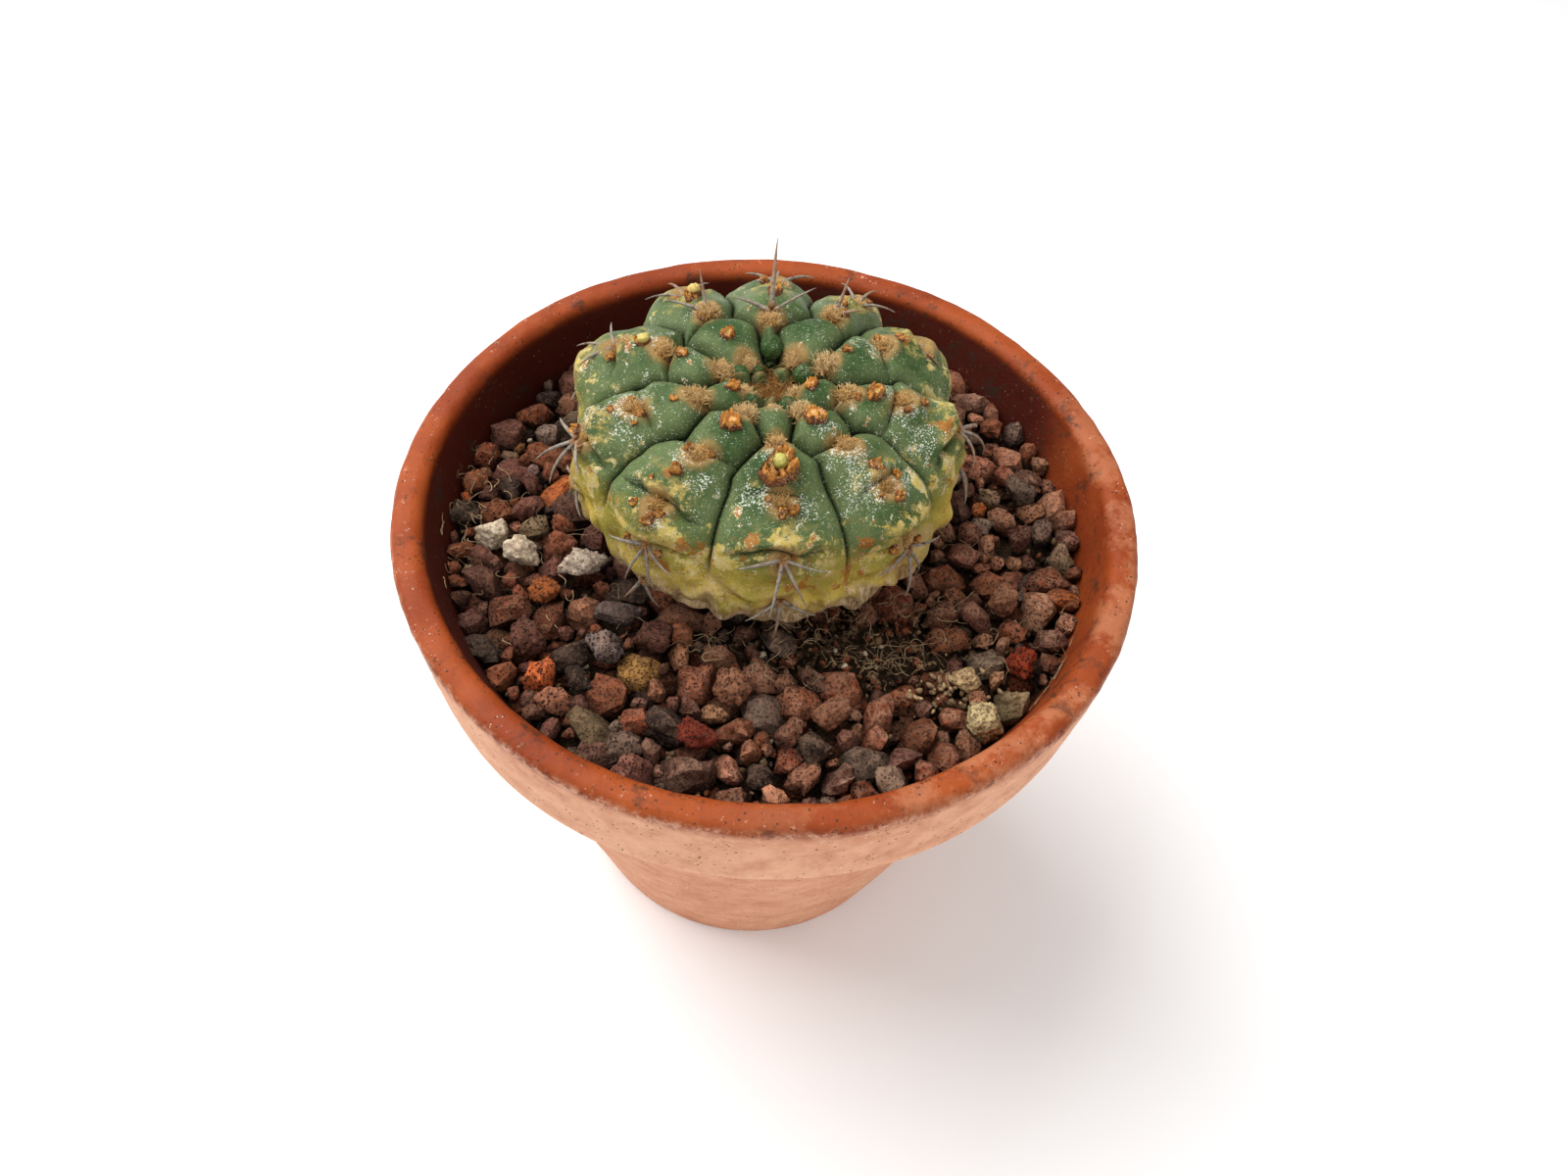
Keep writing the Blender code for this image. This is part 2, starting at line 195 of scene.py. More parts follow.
def uneven(ways, amount, size, seed):
    """A factor round 1 for each direction of ways, which makes a shape uneven."""
    return (1 + amount * plane_waves(ways * 3 * MM, size, seed))[:, None]


class Wire:
    """A shader socket that is reckoned with like a number: each sign makes one maths node."""

    def __init__(self, tree, socket):
        self.tree, self.socket = tree, socket

    def maths(self, kind, first, second):
        return wire(self.tree, "ShaderNodeMath", 0, {0: first, 1: second}, operation=kind)

    def __mul__(self, other):
        return self.maths("MULTIPLY", self, other)

    def __add__(self, other):
        return self.maths("ADD", self, other)

    def __sub__(self, other):
        return self.maths("SUBTRACT", self, other)

    def __rsub__(self, other):
        return self.maths("SUBTRACT", other, self)

    def __lt__(self, other):
        return self.maths("LESS_THAN", self, other)

    def or_more(self, other):
        """The larger of the two."""
        return self.maths("MAXIMUM", self, other)

    def step(self, low, high):
        """0 below low, 1 above high, and a smooth step from one to the other."""
        return wire(self.tree, "ShaderNodeMapRange", "Result",
                    {"Value": self, "From Min": low, "From Max": high},
                    interpolation_type="SMOOTHSTEP", clamp=True)

    def noise(self, per_metre, detail=4.0, rough=0.55):
        """Cloudy noise at this place."""
        return wire(self.tree, "ShaderNodeTexNoise", "Fac",
                    {"Vector": self, "Scale": per_metre, "Detail": detail, "Roughness": rough})


def wire(tree, kind, output, inputs=None, **settings):
    """A wire from one output of a new node; inputs maps a socket to another wire or a value."""
    node = tree.nodes.new(kind)
    for key, value in settings.items():
        setattr(node, key, value)
    for key, value in (inputs or {}).items():
        if isinstance(value, Wire):
            tree.links.new(value.socket, node.inputs[key])
        else:
            node.inputs[key].default_value = value
    return Wire(tree, node.outputs[output])


class Paint:
    """A Principled material that is painted in layers, from the bottom up."""

    def __init__(self, name, roughness, specular, colour):
        self.material = bpy.data.materials.new(name)
        self.material.use_nodes = True
        self.tree = self.material.node_tree
        self.shader = self.tree.nodes["Principled BSDF"].inputs
        self.shader["Roughness"].default_value = roughness
        self.shader["Specular IOR Level"].default_value = specular
        self.where = wire(self.tree, "ShaderNodeTexCoord", "Object")
        self.noise = self.where.noise
        self.colour = colour

    def trait(self, name, output="Fac"):
        """A number or a colour that the piece's own points carry."""
        return wire(self.tree, "ShaderNodeAttribute", output, attribute_name=name,
                    attribute_type="GEOMETRY")

    def flecks(self, per_metre, size, cover):
        return wire(self.tree, "ShaderNodeGroup", 0, {"Where": self.where, "Per Metre": per_metre,
                                                      "Size": size, "Cover": cover}, node_tree=flecks)

    def grain(self, per_metre, slow_share):
        return wire(self.tree, "ShaderNodeGroup", 0, {"Where": self.where, "Per Metre": per_metre,
                                                      "Slow Share": slow_share}, node_tree=grain)

    def mix(self, share, first, second, blend="MIX"):
        """A colour between first and second."""
        first, second = ((*end, 1.0) if isinstance(end, tuple) else end for end in (first, second))
        return wire(self.tree, "ShaderNodeMix", 2, {0: share, 6: first, 7: second},
                    data_type="RGBA", blend_type=blend)

    def layer(self, share, colour):
        self.colour = self.mix(share, self.colour, colour)

    def finish(self, height, strength, depth, roughness=None):
        """Links the colour, the bump from a height and, where it varies, the roughness."""
        bump = wire(self.tree, "ShaderNodeBump", "Normal",
                    {"Height": height, "Strength": strength, "Distance": depth})
        for key, value in (("Base Color", self.colour), ("Normal", bump), ("Roughness", roughness)):
            if value:
                self.tree.links.new(value.socket, self.shader[key])


def effect(name, inputs):
    """An empty node group with one number output, and a wire from each of its inputs.

    inputs maps each input's name to its usual number, or to None for a vector.
    """
    group = bpy.data.node_groups.new(name, "ShaderNodeTree")
    for key, usual in inputs.items():
        kind = "NodeSocketVector" if usual is None else "NodeSocketFloat"
        socket = group.interface.new_socket(name=key, in_out="INPUT", socket_type=kind)
        if usual is not None:
            socket.default_value = usual
    group.interface.new_socket(name="Result", in_out="OUTPUT", socket_type="NodeSocketFloat")
    entry = group.nodes.new("NodeGroupInput").outputs
    return group, [Wire(group, entry[key]) for key in inputs]


# Small spots of uneven size: a spot at each random point, kept where a slow noise is high.
flecks, (where, per_metre, size, cover) = effect(
    "flecks", {"Where": None, "Per Metre": 900.0, "Size": 0.3, "Cover": 0.5})
spots = wire(flecks, "ShaderNodeTexVoronoi", "Distance", {"Vector": where, "Scale": per_metre})
spot = spots < size * (where.noise(2600.0, 2.0) * 2.0)
chosen = (1.0 - where.noise(210.0, 3.0, 0.65)) < cover
flecks.links.new((spot * chosen).socket, flecks.nodes.new("NodeGroupOutput").inputs[0])

# Fine grain with a slower unevenness under it, as on fired clay, skin or stone.
grain, (where, per_metre, slow_share) = effect(
    "grain", {"Where": None, "Per Metre": 1500.0, "Slow Share": 0.5})
height = where.noise(per_metre * 0.13, 3.0) * slow_share + where.noise(per_metre, 5.0, 0.65)
grain.links.new(height.socket, grain.nodes.new("NodeGroupOutput").inputs[0])


def pot_outline():
    """Radius and height round the wall, from the drainage hole's foot up the outside and back in.

    Straight runs are cut into short steps; the lip and the edges are quarter circles.
    """
    under = COLLAR_RADIUS - COLLAR_STEP
    edge = 1.0 * MM

    def run(start, end, step=1.6 * MM):
        count = max(2, int(math.dist(start, end) / step))
        share = np.linspace(0, 1, count, endpoint=False)[:, None]
        return np.array(start) + share * (np.array(end) - np.array(start))

    def arc(centre, radius, first, last, count=7):
        turn = np.radians(np.linspace(first, last, count))
        return xyz(centre[0] + radius * np.cos(turn), centre[1] + radius * np.sin(turn))

    return np.concatenate([
        run((DRAIN_RADIUS + edge, 0), (BASE_RADIUS - edge, 0)),
        arc((BASE_RADIUS - edge, edge), edge, -90, -10),
        run((BASE_RADIUS + 0.2 * MM, edge), (under - 0.8 * MM, COLLAR_Z - 0.8 * MM)),
        arc((under + 0.1 * MM, COLLAR_Z - 0.1 * MM), 0.8 * MM, 200, 100, 5),
        run((under + 0.6 * MM, COLLAR_Z), (67.7 * MM, COLLAR_Z)),
        arc((67.7 * MM, COLLAR_Z + 0.7 * MM), 0.7 * MM, -80, 0, 5),
        run((68.45 * MM, COLLAR_Z + 1.2 * MM), (LIP_RADIUS, RIM_Z - LIP_ROUNDING - 0.6 * MM)),
        arc((LIP_RADIUS - LIP_ROUNDING, RIM_Z - LIP_ROUNDING), LIP_ROUNDING, 0, 84, 9),
        run((LIP_RADIUS - 2.2 * MM, RIM_Z), (LIP_INSIDE + 2.9 * MM, RIM_Z), 0.8 * MM),
        arc((LIP_INSIDE + 2.8 * MM, RIM_Z - 2.8 * MM), 2.8 * MM, 92, 172, 11),
        run(INNER_TOP, INNER_FOOT),
        run(INNER_FOOT, (DRAIN_RADIUS + edge, INNER_FOOT[1]), 3 * MM),
        arc((DRAIN_RADIUS + edge, INNER_FOOT[1] - edge), edge, 90, 180, 4),
        arc((DRAIN_RADIUS + edge, edge), edge, 180, 262, 4)])


out, up = pot_outline().T
turn = round_turn(POT_TURNS)[:, None]
wall = xyz(out * np.cos(turn), out * np.sin(turn), up)
# Uneven by hand and by wear: slow waves of 0.15 mm everywhere, small dents on the lip and collar.
clear_of_base = np.clip(wall[..., 2] / (4 * MM), 0, 1)
wear = np.clip((wall[..., 2] - COLLAR_Z) / (4 * MM), 0, 1)
bulge = plane_waves(wall, 40 * MM, 3) * 0.12 * MM + wear * plane_waves(wall, 5 * MM, 4) * 0.07 * MM
away = wall * np.array((1, 1, 0)) / np.maximum(np.hypot(wall[..., 0], wall[..., 1]), 1e-6)[..., None]
wall = wall + away * (bulge * clear_of_base)[..., None]
top = np.clip((wall[..., 2] - RIM_Z + 0.6 * MM) / (0.6 * MM), 0, 1)
wall[..., 2] -= top * (0.10 + 0.10 * plane_waves(wall, 9 * MM, 5)) * MM
first = np.arange(len(out))
last = first + (POT_TURNS - 1) * len(out)
seam = np.stack([last, np.roll(last, -1), np.roll(first, -1), first], -1)
pot_faces = np.concatenate([grid_faces(POT_TURNS, len(out)), seam])

outer_corner = np.hypot(out - LIP_RADIUS, up - (RIM_Z - 1.9 * MM)) / (0.9 * MM)
foot_corner = np.hypot(out - COLLAR_RADIUS, up - COLLAR_Z - 0.8 * MM) / (1.2 * MM)
pot_traits = {"inner_side": np.arange(len(out)) > np.argmax(up) + 3,
              "lip": np.clip((up - (RIM_Z - 3.4 * MM)) / (1.6 * MM), 0, 1),
              "worn_edge": np.maximum(np.exp(-outer_corner ** 2), np.exp(-foot_corner ** 2))}

clay = Paint("fired_clay", 0.62, 0.17, CLAY)
z_here = wire(clay.tree, "ShaderNodeSeparateXYZ", "Z", {0: clay.where})
to_sun = wire(clay.tree, "ShaderNodeVectorMath", "Value", {0: clay.where, 1: (0.88, -0.47, 0.0)},
              operation="DOT_PRODUCT")
is_inside, is_lip, is_edge = (clay.trait(name) for name in pot_traits)
blotch, streak = clay.noise(55.0, 5.0, 0.6), clay.noise(190.0, 6.0, 0.7)
outside = 1.0 - is_lip.or_more(is_inside)
collar = z_here.step(COLLAR_Z - 0.6 * MM, COLLAR_Z + 0.4 * MM)
clay.layer(blotch.step(0.36, 0.66), CLAY_BRIGHT)
clay.layer(outside, CLAY_OUTSIDE)
powder = (streak * 0.6 + blotch * 0.4).step(0.22, 0.70) * (collar * 0.25 + 0.65)
clay.layer(powder * outside, CLAY_POWDER)
# Painted shade on the body just under the collar's overhang.
shade_under_collar = z_here.step(COLLAR_Z - 5.5 * MM, COLLAR_Z - 0.5 * MM) * (outside - collar)
clay.layer(shade_under_collar.or_more(0.0) * 0.60, CLAY_SHADE)
# Damp, darker clay inside below the rim, and over it painted shade on the inner wall turned from the light,
# from the left round to the back.
damp_and_shade = is_inside * z_here.step(RIM_Z - 0.6 * MM, RIM_Z - 3.0 * MM)
damp_and_shade = damp_and_shade * (to_sun.step(0.048, 0.030) * 0.86 + 0.12) * clay.noise(90.0, 4.0).step(0.14, 0.34)
clay.layer(damp_and_shade, CLAY_DAMP_SHADE)
clay.layer(clay.noise(420.0, 5.0, 0.75).step(0.60, 0.70) * (is_inside * -0.35 + 0.40), CLAY_POWDER)
crusted = outside * 0.35 + (is_inside * -0.25 + 0.38)
clay.layer(clay.flecks(900.0, 0.13, 0.46) * crusted, SALT_WHITE)
clay.layer(is_edge * clay.noise(480.0, 6.0, 0.8).step(0.44, 0.58) * 0.60, CLAY_POWDER)
# Paler rubbed clay in patches on the lip's right-front side, where it is also a painted highlight of the
# lit side.
rubbed_and_lit = clay.noise(75.0, 6.0, 0.7).step(0.46, 0.60) * is_lip * to_sun.step(0.02, 0.058)
clay.layer(rubbed_and_lit * 0.50, CLAY_RUBBED_LIT)
grime = clay.noise(130.0, 7.0, 0.8)
stain = (grime.step(0.52, 0.66) * is_inside * 0.85).or_more(grime.step(0.53, 0.66) * is_lip * 0.55)
clay.layer(stain.or_more(clay.flecks(800.0, 0.17, 0.50) * 0.8), DIRT)
shine = streak * 0.25 + (is_lip * -0.22 + 0.62)
clay.finish(clay.grain(1500.0, 0.8), 0.55, 0.25 * MM, shine)

make_piece("clay_pot_wall", wall, pot_faces.tolist(), clay, "terracotta",
           {key: np.tile(values, POT_TURNS) for key, values in pot_traits.items()},
           replaces=("clay_pot",))


# ---------------------------------------------------------------- cactus stem
# One flattened globe, grown as a single body of green flesh: ten ribs that split into tubercles
# round a sunken crown, with corky patches low down and a tan, woody skirt at the soil.
STEM_X, STEM_Y = -1.4 * MM, 6.0 * MM
STEM_RADIUS = 36.4 * MM
STEM_RISE = 17.0 * MM
STEM_DROP = 19.0 * MM
FOOT_RADIUS = 20.0 * MM
EQUATOR_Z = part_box("cactus_stem")[0][2] + STEM_DROP
CROWN_DIP = 4.6 * MM
CROWN_RADIUS = 7.5 * MM
SQUARENESS = 2.8
TOP_STEPS, FLANK_STEPS = 500, 200
# Compass direction of each rib's crest, from the front towards the right: low down, then at the crown.
CREST = np.array((7, 46, 87, 122, 150, 181, 215, 253, 289, 327), float)
CREST_INNER = np.array((6, 35, 72, 114, 148, 185, 226, 262, 301, 338), float)
# The furrow that follows each rib, low down.
FURROW = np.array((27, 63, 99, 140, 167, 200, 232, 274, 306, 346), float)
# Distance of each rib's areoles from the crown's centre, in mm along the skin.
AREOLES = ((7.5, 17.3, 28.0, 38.0, 48.5), (10.6, 20.9, 30.6, 42.0, 52.0), (5.0, 14.8, 24.5, 36.5, 47.0),
           (11.3, 24.2, 33.5, 43.0, 53.0), (7.7, 21.8, 32.0, 42.5, 53.0), (15.6, 31.5, 42.5, 52.0, 60.0),
           (6.9, 21.0, 32.5, 42.5, 53.0), (9.9, 21.1, 31.5, 42.5, 53.0), (5.8, 15.4, 25.8, 36.5, 47.5),
           (11.3, 23.1, 34.0, 42.3, 52.0))
NOTCH_ABOVE = 1.5
# Length of the bead or small tubercle that each rib starts with at the crown, in mm.
BEADS = (4.2, 4.8, 3.0, 5.4, 4.0, 6.6, 3.8, 4.8, 3.2, 4.9)
COLUMNS_PER_RIB = 42
STEM_ROWS = 232

SKIN = (0.030, 0.064, 0.014)
SKIN_BLOOM = (0.140, 0.182, 0.070)
SKIN_SHADE = (0.006, 0.012, 0.003)
SKIN_RICH = (0.018, 0.056, 0.010)
SKIN_OLD = (0.60, 0.43, 0.075)
SKIN_OLIVE = (0.270, 0.235, 0.036)
CORK_CREAM = (0.66, 0.53, 0.25)
CORK_TAN = (0.34, 0.195, 0.065)
RUST = (0.33, 0.105, 0.014)
CORK_BROWN = (0.46, 0.33, 0.085)
STAIN_TAN = (0.58, 0.42, 0.20)
STAIN_BROWN = (0.20, 0.10, 0.020)
BARK_DARK = (0.20, 0.12, 0.050)
BARK_PALE = (0.66, 0.50, 0.29)
DUST_WHITE = (0.76, 0.79, 0.68)


def smooth_step(value, low, high):
    """0 below low, 1 above high, and 3 s squared less 2 s cubed of the share s between them."""
    share = np.clip((value - low) / (high - low), 0, 1)
    return share * share * (3 - 2 * share)


def stem_meridian():
    """Distance from the crown's centre, radius and height down one side of the globe.

    The top is a quarter of a superellipse with a dip at the crown; the flank below the equator
    draws in to the foot.
    """
    angle = np.linspace(math.pi / 2, 0, TOP_STEPS)
    power = 2 / SQUARENESS
    out = STEM_RADIUS * np.cos(angle) ** power
    up = EQUATOR_Z + STEM_RISE * np.sin(angle) ** power
    up = up - CROWN_DIP * np.exp(-(out / CROWN_RADIUS) ** 2)
    fall = np.linspace(0, 1, FLANK_STEPS)[1:]
    out = np.concatenate([out, STEM_RADIUS - (STEM_RADIUS - FOOT_RADIUS) * fall ** 2.6])
    up = np.concatenate([up, EQUATOR_Z - STEM_DROP * fall])
    along = np.concatenate([[0], np.cumsum(np.hypot(np.diff(out), np.diff(up)))])
    return along, out, up


ALONG, OUT, UP = stem_meridian()
STEM_LENGTH = ALONG[-1]


def crest_angle(rib, along):
    """A rib's crest swings from its direction at the crown to its direction low down."""
    share = smooth_step(along, 9 * MM, 30 * MM)
    return CREST_INNER[rib] * (1 - share) + CREST[rib] * share


def rib_cells(rib):
    """Start of each tubercle of a rib, from a bead at the crown outwards, in metres along the skin."""
    notches = np.array(AREOLES[rib]) - NOTCH_ABOVE
    first = np.array([max(notches[0] - BEADS[rib], 1.2)])
    return np.concatenate([first, notches, [notches[-1] + 9.0]]) * MM


def compass(degrees, distance):
    """Places on the unrolled skin, by compass direction and distance from the crown's centre."""
    turn = np.radians(degrees)
    return distance[..., None] * xyz(np.sin(turn), np.cos(turn))


def furrow_table(samples=420, fan=161):
    """Direction of the furrow after each rib at even distances from the crown.

    Near the crown it is the edge between two ribs' tubercles, taken as circles round their middles
    on the unrolled skin: the point whose power to both circles is the same. Lower down it runs
    straight to the furrow's own direction.
    """
    along = np.linspace(0, STEM_LENGTH, samples)
    table = np.zeros((10, samples))
    for rib in range(10):
        after = (rib + 1) % 10
        gap = (CREST_INNER[after] - CREST_INNER[rib]) % 360
        spot = compass(CREST_INNER[rib] + np.linspace(0, gap, fan), along[:, None])
        nearest = []
        for each in (rib, after):
            starts = rib_cells(each)
            middle, reach = (starts[1:] + starts[:-1]) / 2, (starts[1:] - starts[:-1]) / 2
            centre = compass(crest_angle(each, middle), middle)
            power = ((spot[:, :, None, :] - centre) ** 2).sum(-1) - reach ** 2
            nearest.append(power.min(-1))
        balance = nearest[1] - nearest[0]
        last = np.clip((balance > 0).sum(1) - 1, 0, fan - 2)
        row = np.arange(samples)
        drop = balance[row, last] - balance[row, last + 1]
        part = np.clip(balance[row, last] / np.where(np.abs(drop) < 1e-12, 1, drop), 0, 1)
        inner = CREST_INNER[rib] + (last + part) / (fan - 1) * gap
        low = FURROW[rib] + 360 * np.round((inner - FURROW[rib]) / 360)
        share = smooth_step(along, 19 * MM, 31 * MM)
        table[rib] = inner * (1 - share) + low * share
    return table


FURROWS = furrow_table()
# How strongly each rib is broken into lumps.
LUMPINESS = np.array((0.75, 0.95, 1.25, 1.5, 1.3, 1.1, 1.5, 1.75, 1.35, 1.0))


def furrow_angle(rib, along):
    place = np.clip(along / STEM_LENGTH * (FURROWS.shape[1] - 1), 0, FURROWS.shape[1] - 1.001)
    low = np.floor(place).astype(int)
    part = place - low
    return FURROWS[rib % 10, low] * (1 - part) + FURROWS[rib % 10, low + 1] * part


def skin(rib, across, along):
    """Points on the skin. across is -1 and 1 in a rib's two furrows and 0 on its crest.

    The plain globe is pushed in at the furrows and at the creases between tubercles, and out to a
    pillow on each tubercle and to a chin above each crease. Also gives masks for the colours.
    """
    shape = np.broadcast(rib, across, along).shape
    rib, across, along = (np.broadcast_to(each, shape) for each in (rib % 10, across, along))
    crest = crest_angle(rib, along)
    after, before = ((furrow_angle(each, along) - crest + 180) % 360 - 180 for each in (rib, rib - 1))
    angle = np.radians(crest + np.where(across >= 0, across * after, -across * before))
    out, up = np.interp(along, ALONG, OUT), np.interp(along, ALONG, UP)
    step = 0.8 * MM
    ends = np.minimum(along + step, STEM_LENGTH), np.maximum(along - step, 0)
    slope_out, slope_up = (np.interp(ends[0], ALONG, line) - np.interp(ends[1], ALONG, line)
                           for line in (OUT, UP))
    length = np.hypot(slope_out, slope_up)
    flat = xyz(np.sin(angle), -np.cos(angle), 0.0)
    upright = np.array((0, 0, 1.0))
    normal = flat * (-slope_up / length)[..., None] + upright * (slope_out / length)[..., None]
    points = flat * out[..., None] + np.array((STEM_X, STEM_Y, 0)) + upright * up[..., None]

    edge = np.abs(across)
    half_width = out * np.radians(np.abs(np.where(across >= 0, after, before)))
    gap = (1 - edge) * half_width

    def past(low, high):
        """0 up to low and 1 from high on, both in mm along the skin from the crown's centre."""
        return smooth_step(along, low * MM, high * MM)

    crown = 1 - past(19, 30)
    low = past(42, 50)
    live = past(1.2, 4.5)
    wander = plane_waves(points, 9 * MM, 21)
    furrow = np.exp(-gap / ((0.62 + 1.3 * low) * MM))
    wide = np.exp(-gap / (2.3 * MM))

    share = np.zeros(shape)
    crease_gap = np.full(shape, 9 * MM)
    areole = np.full(shape, 30 * MM)
    order = np.zeros(shape)
    bow = (0.5 * crown - 2.2 * (1 - crown)) * MM * edge ** 2 + 0.5 * MM * wander * (1 - crown)
    for each in range(10):
        mine = rib == each
        starts = rib_cells(each)
        count = np.interp(along[mine] + bow[mine], starts, np.arange(len(starts)))
        share[mine] = count - np.floor(count)
        order[mine] = np.floor(count)
        crease_gap[mine] = np.abs((along[mine] + bow[mine])[:, None] - starts).min(1)
        away = along[mine][:, None] - np.array(AREOLES[each]) * MM
        areole[mine] = np.hypot(away, (edge * half_width)[mine][:, None]).min(1)
    span = crown + (1 - crown) * np.clip(1 - (edge / np.where(order >= 3, 0.86, 0.56)) ** 4, 0, 1)
    crease = np.exp(-crease_gap / (0.60 * MM)) * span * (1 - 0.75 * past(43, 46))
    ledge = past(30, 33) * (1 - past(40, 43))

    pillow = (1 - (2 * share - 1) ** 2) * (1 - edge ** 2)
    chin = share ** 1.5 * (1 - smooth_step(share, 0.86, 1.0)) * np.clip(1 - (edge / 0.8) ** 2, 0, 1)
    height = -furrow * (1.45 * crown + 1.05 * (1 - crown)) * (1 - 0.70 * low)
    height -= wide * (0.9 - 0.35 * crown) * (1 - 0.8 * low)
    height -= (1 - crown) * (1 - 0.75 * low) * 1.25 * edge ** 2
    lumpy = LUMPINESS[rib]
    height -= crease * (1.5 * crown + (0.85 + 1.15 * ledge) * lumpy * (1 - crown))
    bead = (order < 1) * np.where(rib % 2 == 1, 1.0, 0.3)
    height += crown * (1.75 * np.maximum(pillow, 0) ** 0.75 + 0.7 * bead * np.sqrt(np.maximum(pillow, 0)))
    height += (1 - crown) * chin * (1.0 + 1.7 * ledge) * (1 - 0.6 * low) * lumpy
    height -= 0.5 * np.exp(-(areole / (1.1 * MM)) ** 2)
    swelling = np.exp(-((areole - 2.5 * MM) / (1.2 * MM)) ** 2) * (1 - edge ** 2)
    height += swelling * (0.30 * crown + 0.75 * (1 - crown)) * (1 - 0.6 * low)
    below = past(37.5, 39.5) * (1 - past(44, 52))
    height -= 0.9 * below * np.clip(1 - edge ** 3, 0, 1)
    height = height * live
    folds = np.sin(2 * math.pi * along / (6.5 * MM) + 1.6 * wander + 5 * edge) * low
    rough = plane_waves(points, 6 * MM, 11) * (0.13 + 0.22 * low) + 0.42 * folds
    rough += plane_waves(points * np.array((1, 1, 1.8)), 14 * MM, 12) * (0.10 + 0.32 * low)
    rough *= live * (1 - past(66, 72))
    points = points + normal * ((height + rough) * MM)[..., None]
    masks = {"furrow": furrow * live, "wide": wide, "crease": crease, "areole": areole / (10 * MM),
             "along": along / (50 * MM), "chin": chin, "pillow": pillow * crown}
    return points, normal, masks


def place_on_skin(rib, side, along):
    """Root point on the skin, and the ways to its right, down the rib and outwards.

    side is the place across the rib from -1 to 1, along the distance from the crown in mm.
    """
    shift = np.array((0, 0.4, -0.4))
    points, normals, _ = skin(np.array([rib]), np.array([side]), (along + shift) * MM)
    normal = normals[0]
    down = points[1] - points[2]
    down = unit(down - normal * (down @ normal))
    return points[0], np.stack([np.cross(down, normal), down, normal])


share = np.linspace(-1, 1, COLUMNS_PER_RIB, endpoint=False)
share = np.sign(share) * (1 - (1 - np.abs(share)) ** 1.55)
row_share = np.linspace(0, 1, STEM_ROWS)
row_along = STEM_LENGTH * (0.74 * row_share + 0.26 * row_share ** 4)
row_along[0] = 0.25 * MM
stem_points, _, stem_traits = skin(np.repeat(np.arange(10), COLUMNS_PER_RIB), np.tile(share, 10),
                                   row_along[:, None])

# Corky patches low on the skin: rib, place across, distance from the crown and size in mm.
CREAM_PATCHES = ((0, -0.80, 39, 3.2), (0, -0.45, 36, 2.0), (0, 0.0, 35, 2.6), (0, 0.55, 37, 2.4),
                 (9, 0.10, 33, 2.8), (9, 0.35, 38, 3.6), (9, 0.80, 42, 2.6), (9, -0.50, 41, 2.4),
                 (1, 0.25, 37, 3.0), (1, 0.65, 34, 2.6), (1, -0.55, 41, 2.4), (2, 0.5, 33, 2.4),
                 (2, -0.55, 37, 2.6), (8, -0.45, 35, 2.6), (8, 0.6, 40, 2.6), (3, 0.2, 37, 2.6),
                 (7, 0.3, 38, 2.8), (6, -0.3, 37, 2.5), (5, 0.4, 39, 2.6), (4, 0.1, 36, 2.4))
RUST_PATCHES = ((0, -0.42, 34.5, 1.7), (0, 0.05, 36.6, 1.7), (0, 1.0, 45, 1.6), (9, 0.62, 38.0, 1.3),
                (9, -0.15, 28.4, 1.6), (1, -0.72, 38.0, 1.7), (1, 0.10, 31.8, 1.6), (2, -0.30, 32, 1.6),
                (8, -0.10, 29, 1.3), (9, 0.30, 45, 2.0), (3, 0.0, 29, 1.6), (6, 0.1, 29, 1.6),
                (7, 0.0, 29, 1.5), (2, 0.2, 28, 1.2), (1, -0.2, 46, 2.0), (0, 0.3, 44, 1.6))
# Where fine white dust has settled thickly.
DUST_PATCHES = ((8, -0.35, 26, 4.2), (8, 0.35, 28, 3.2), (8, -0.2, 33, 3.6), (1, -0.2, 24, 3.4),
                (1, -0.5, 29, 3.6), (1, 0.35, 31, 3.4), (2, -0.3, 25, 4.0), (2, 0.3, 22, 2.6),
                (2, -0.6, 30, 3.6), (0, -0.5, 27, 3.2), (0, 0.4, 29, 2.8), (9, 0.5, 27, 2.6),
                (9, -0.2, 25, 2.4), (1, 0.0, 16, 1.8), (7, -0.2, 26, 2.6), (3, 0.1, 22, 3.0),
                (0, -0.3, 20, 2.0), (9, 0.1, 36, 2.0))
torn = 1 + 0.38 * plane_waves(stem_points, 3.6 * MM, 25) + 0.25 * plane_waves(stem_points, 1.5 * MM, 26)
for key, patches in (("cream", CREAM_PATCHES), ("rust", RUST_PATCHES), ("dusting", DUST_PATCHES)):
    stem_traits[key] = np.zeros(stem_points.shape[:2])
    for rib, side, along, size in patches:
        spot = place_on_skin(rib, side, along)[0]
        away = np.linalg.norm((stem_points - spot) * np.array((1, 1, 0.85)), axis=-1) / (size * MM)
        stem_traits[key] = np.maximum(stem_traits[key], np.clip(1.5 - away * torn, 0, 1))

flesh = Paint("cactus_flesh", 0.50, 0.14, SKIN)
furrow, wide, crease, near_areole, along_here, chin, pillow, cream, rust, dusting = (
    flesh.trait(name) for name in stem_traits)
age = along_here + (flesh.noise(120.0, 5.0, 0.65) * 0.30 - 0.15)
patch = flesh.noise(85.0, 5.0, 0.65)
flesh.layer(pillow.step(0.15, 0.9) * 0.6, SKIN_RICH)
bloom = (patch + (wide * 0.42 + (along_here * 0.22 - 0.06))).step(0.48, 0.80)
waxy = flesh.noise(1900.0, 5.0, 0.8).step(0.46, 0.64) * 0.34
flesh.layer(bloom * 0.60 + waxy, SKIN_BLOOM)
flesh.layer(age.step(0.70, 0.86), SKIN_OLIVE)
flesh.layer(age.step(0.78, 0.98) * patch.step(0.28, 0.60), SKIN_OLD)
ragged = flesh.noise(300.0, 7.0, 0.78) * 2.6 - 1.3
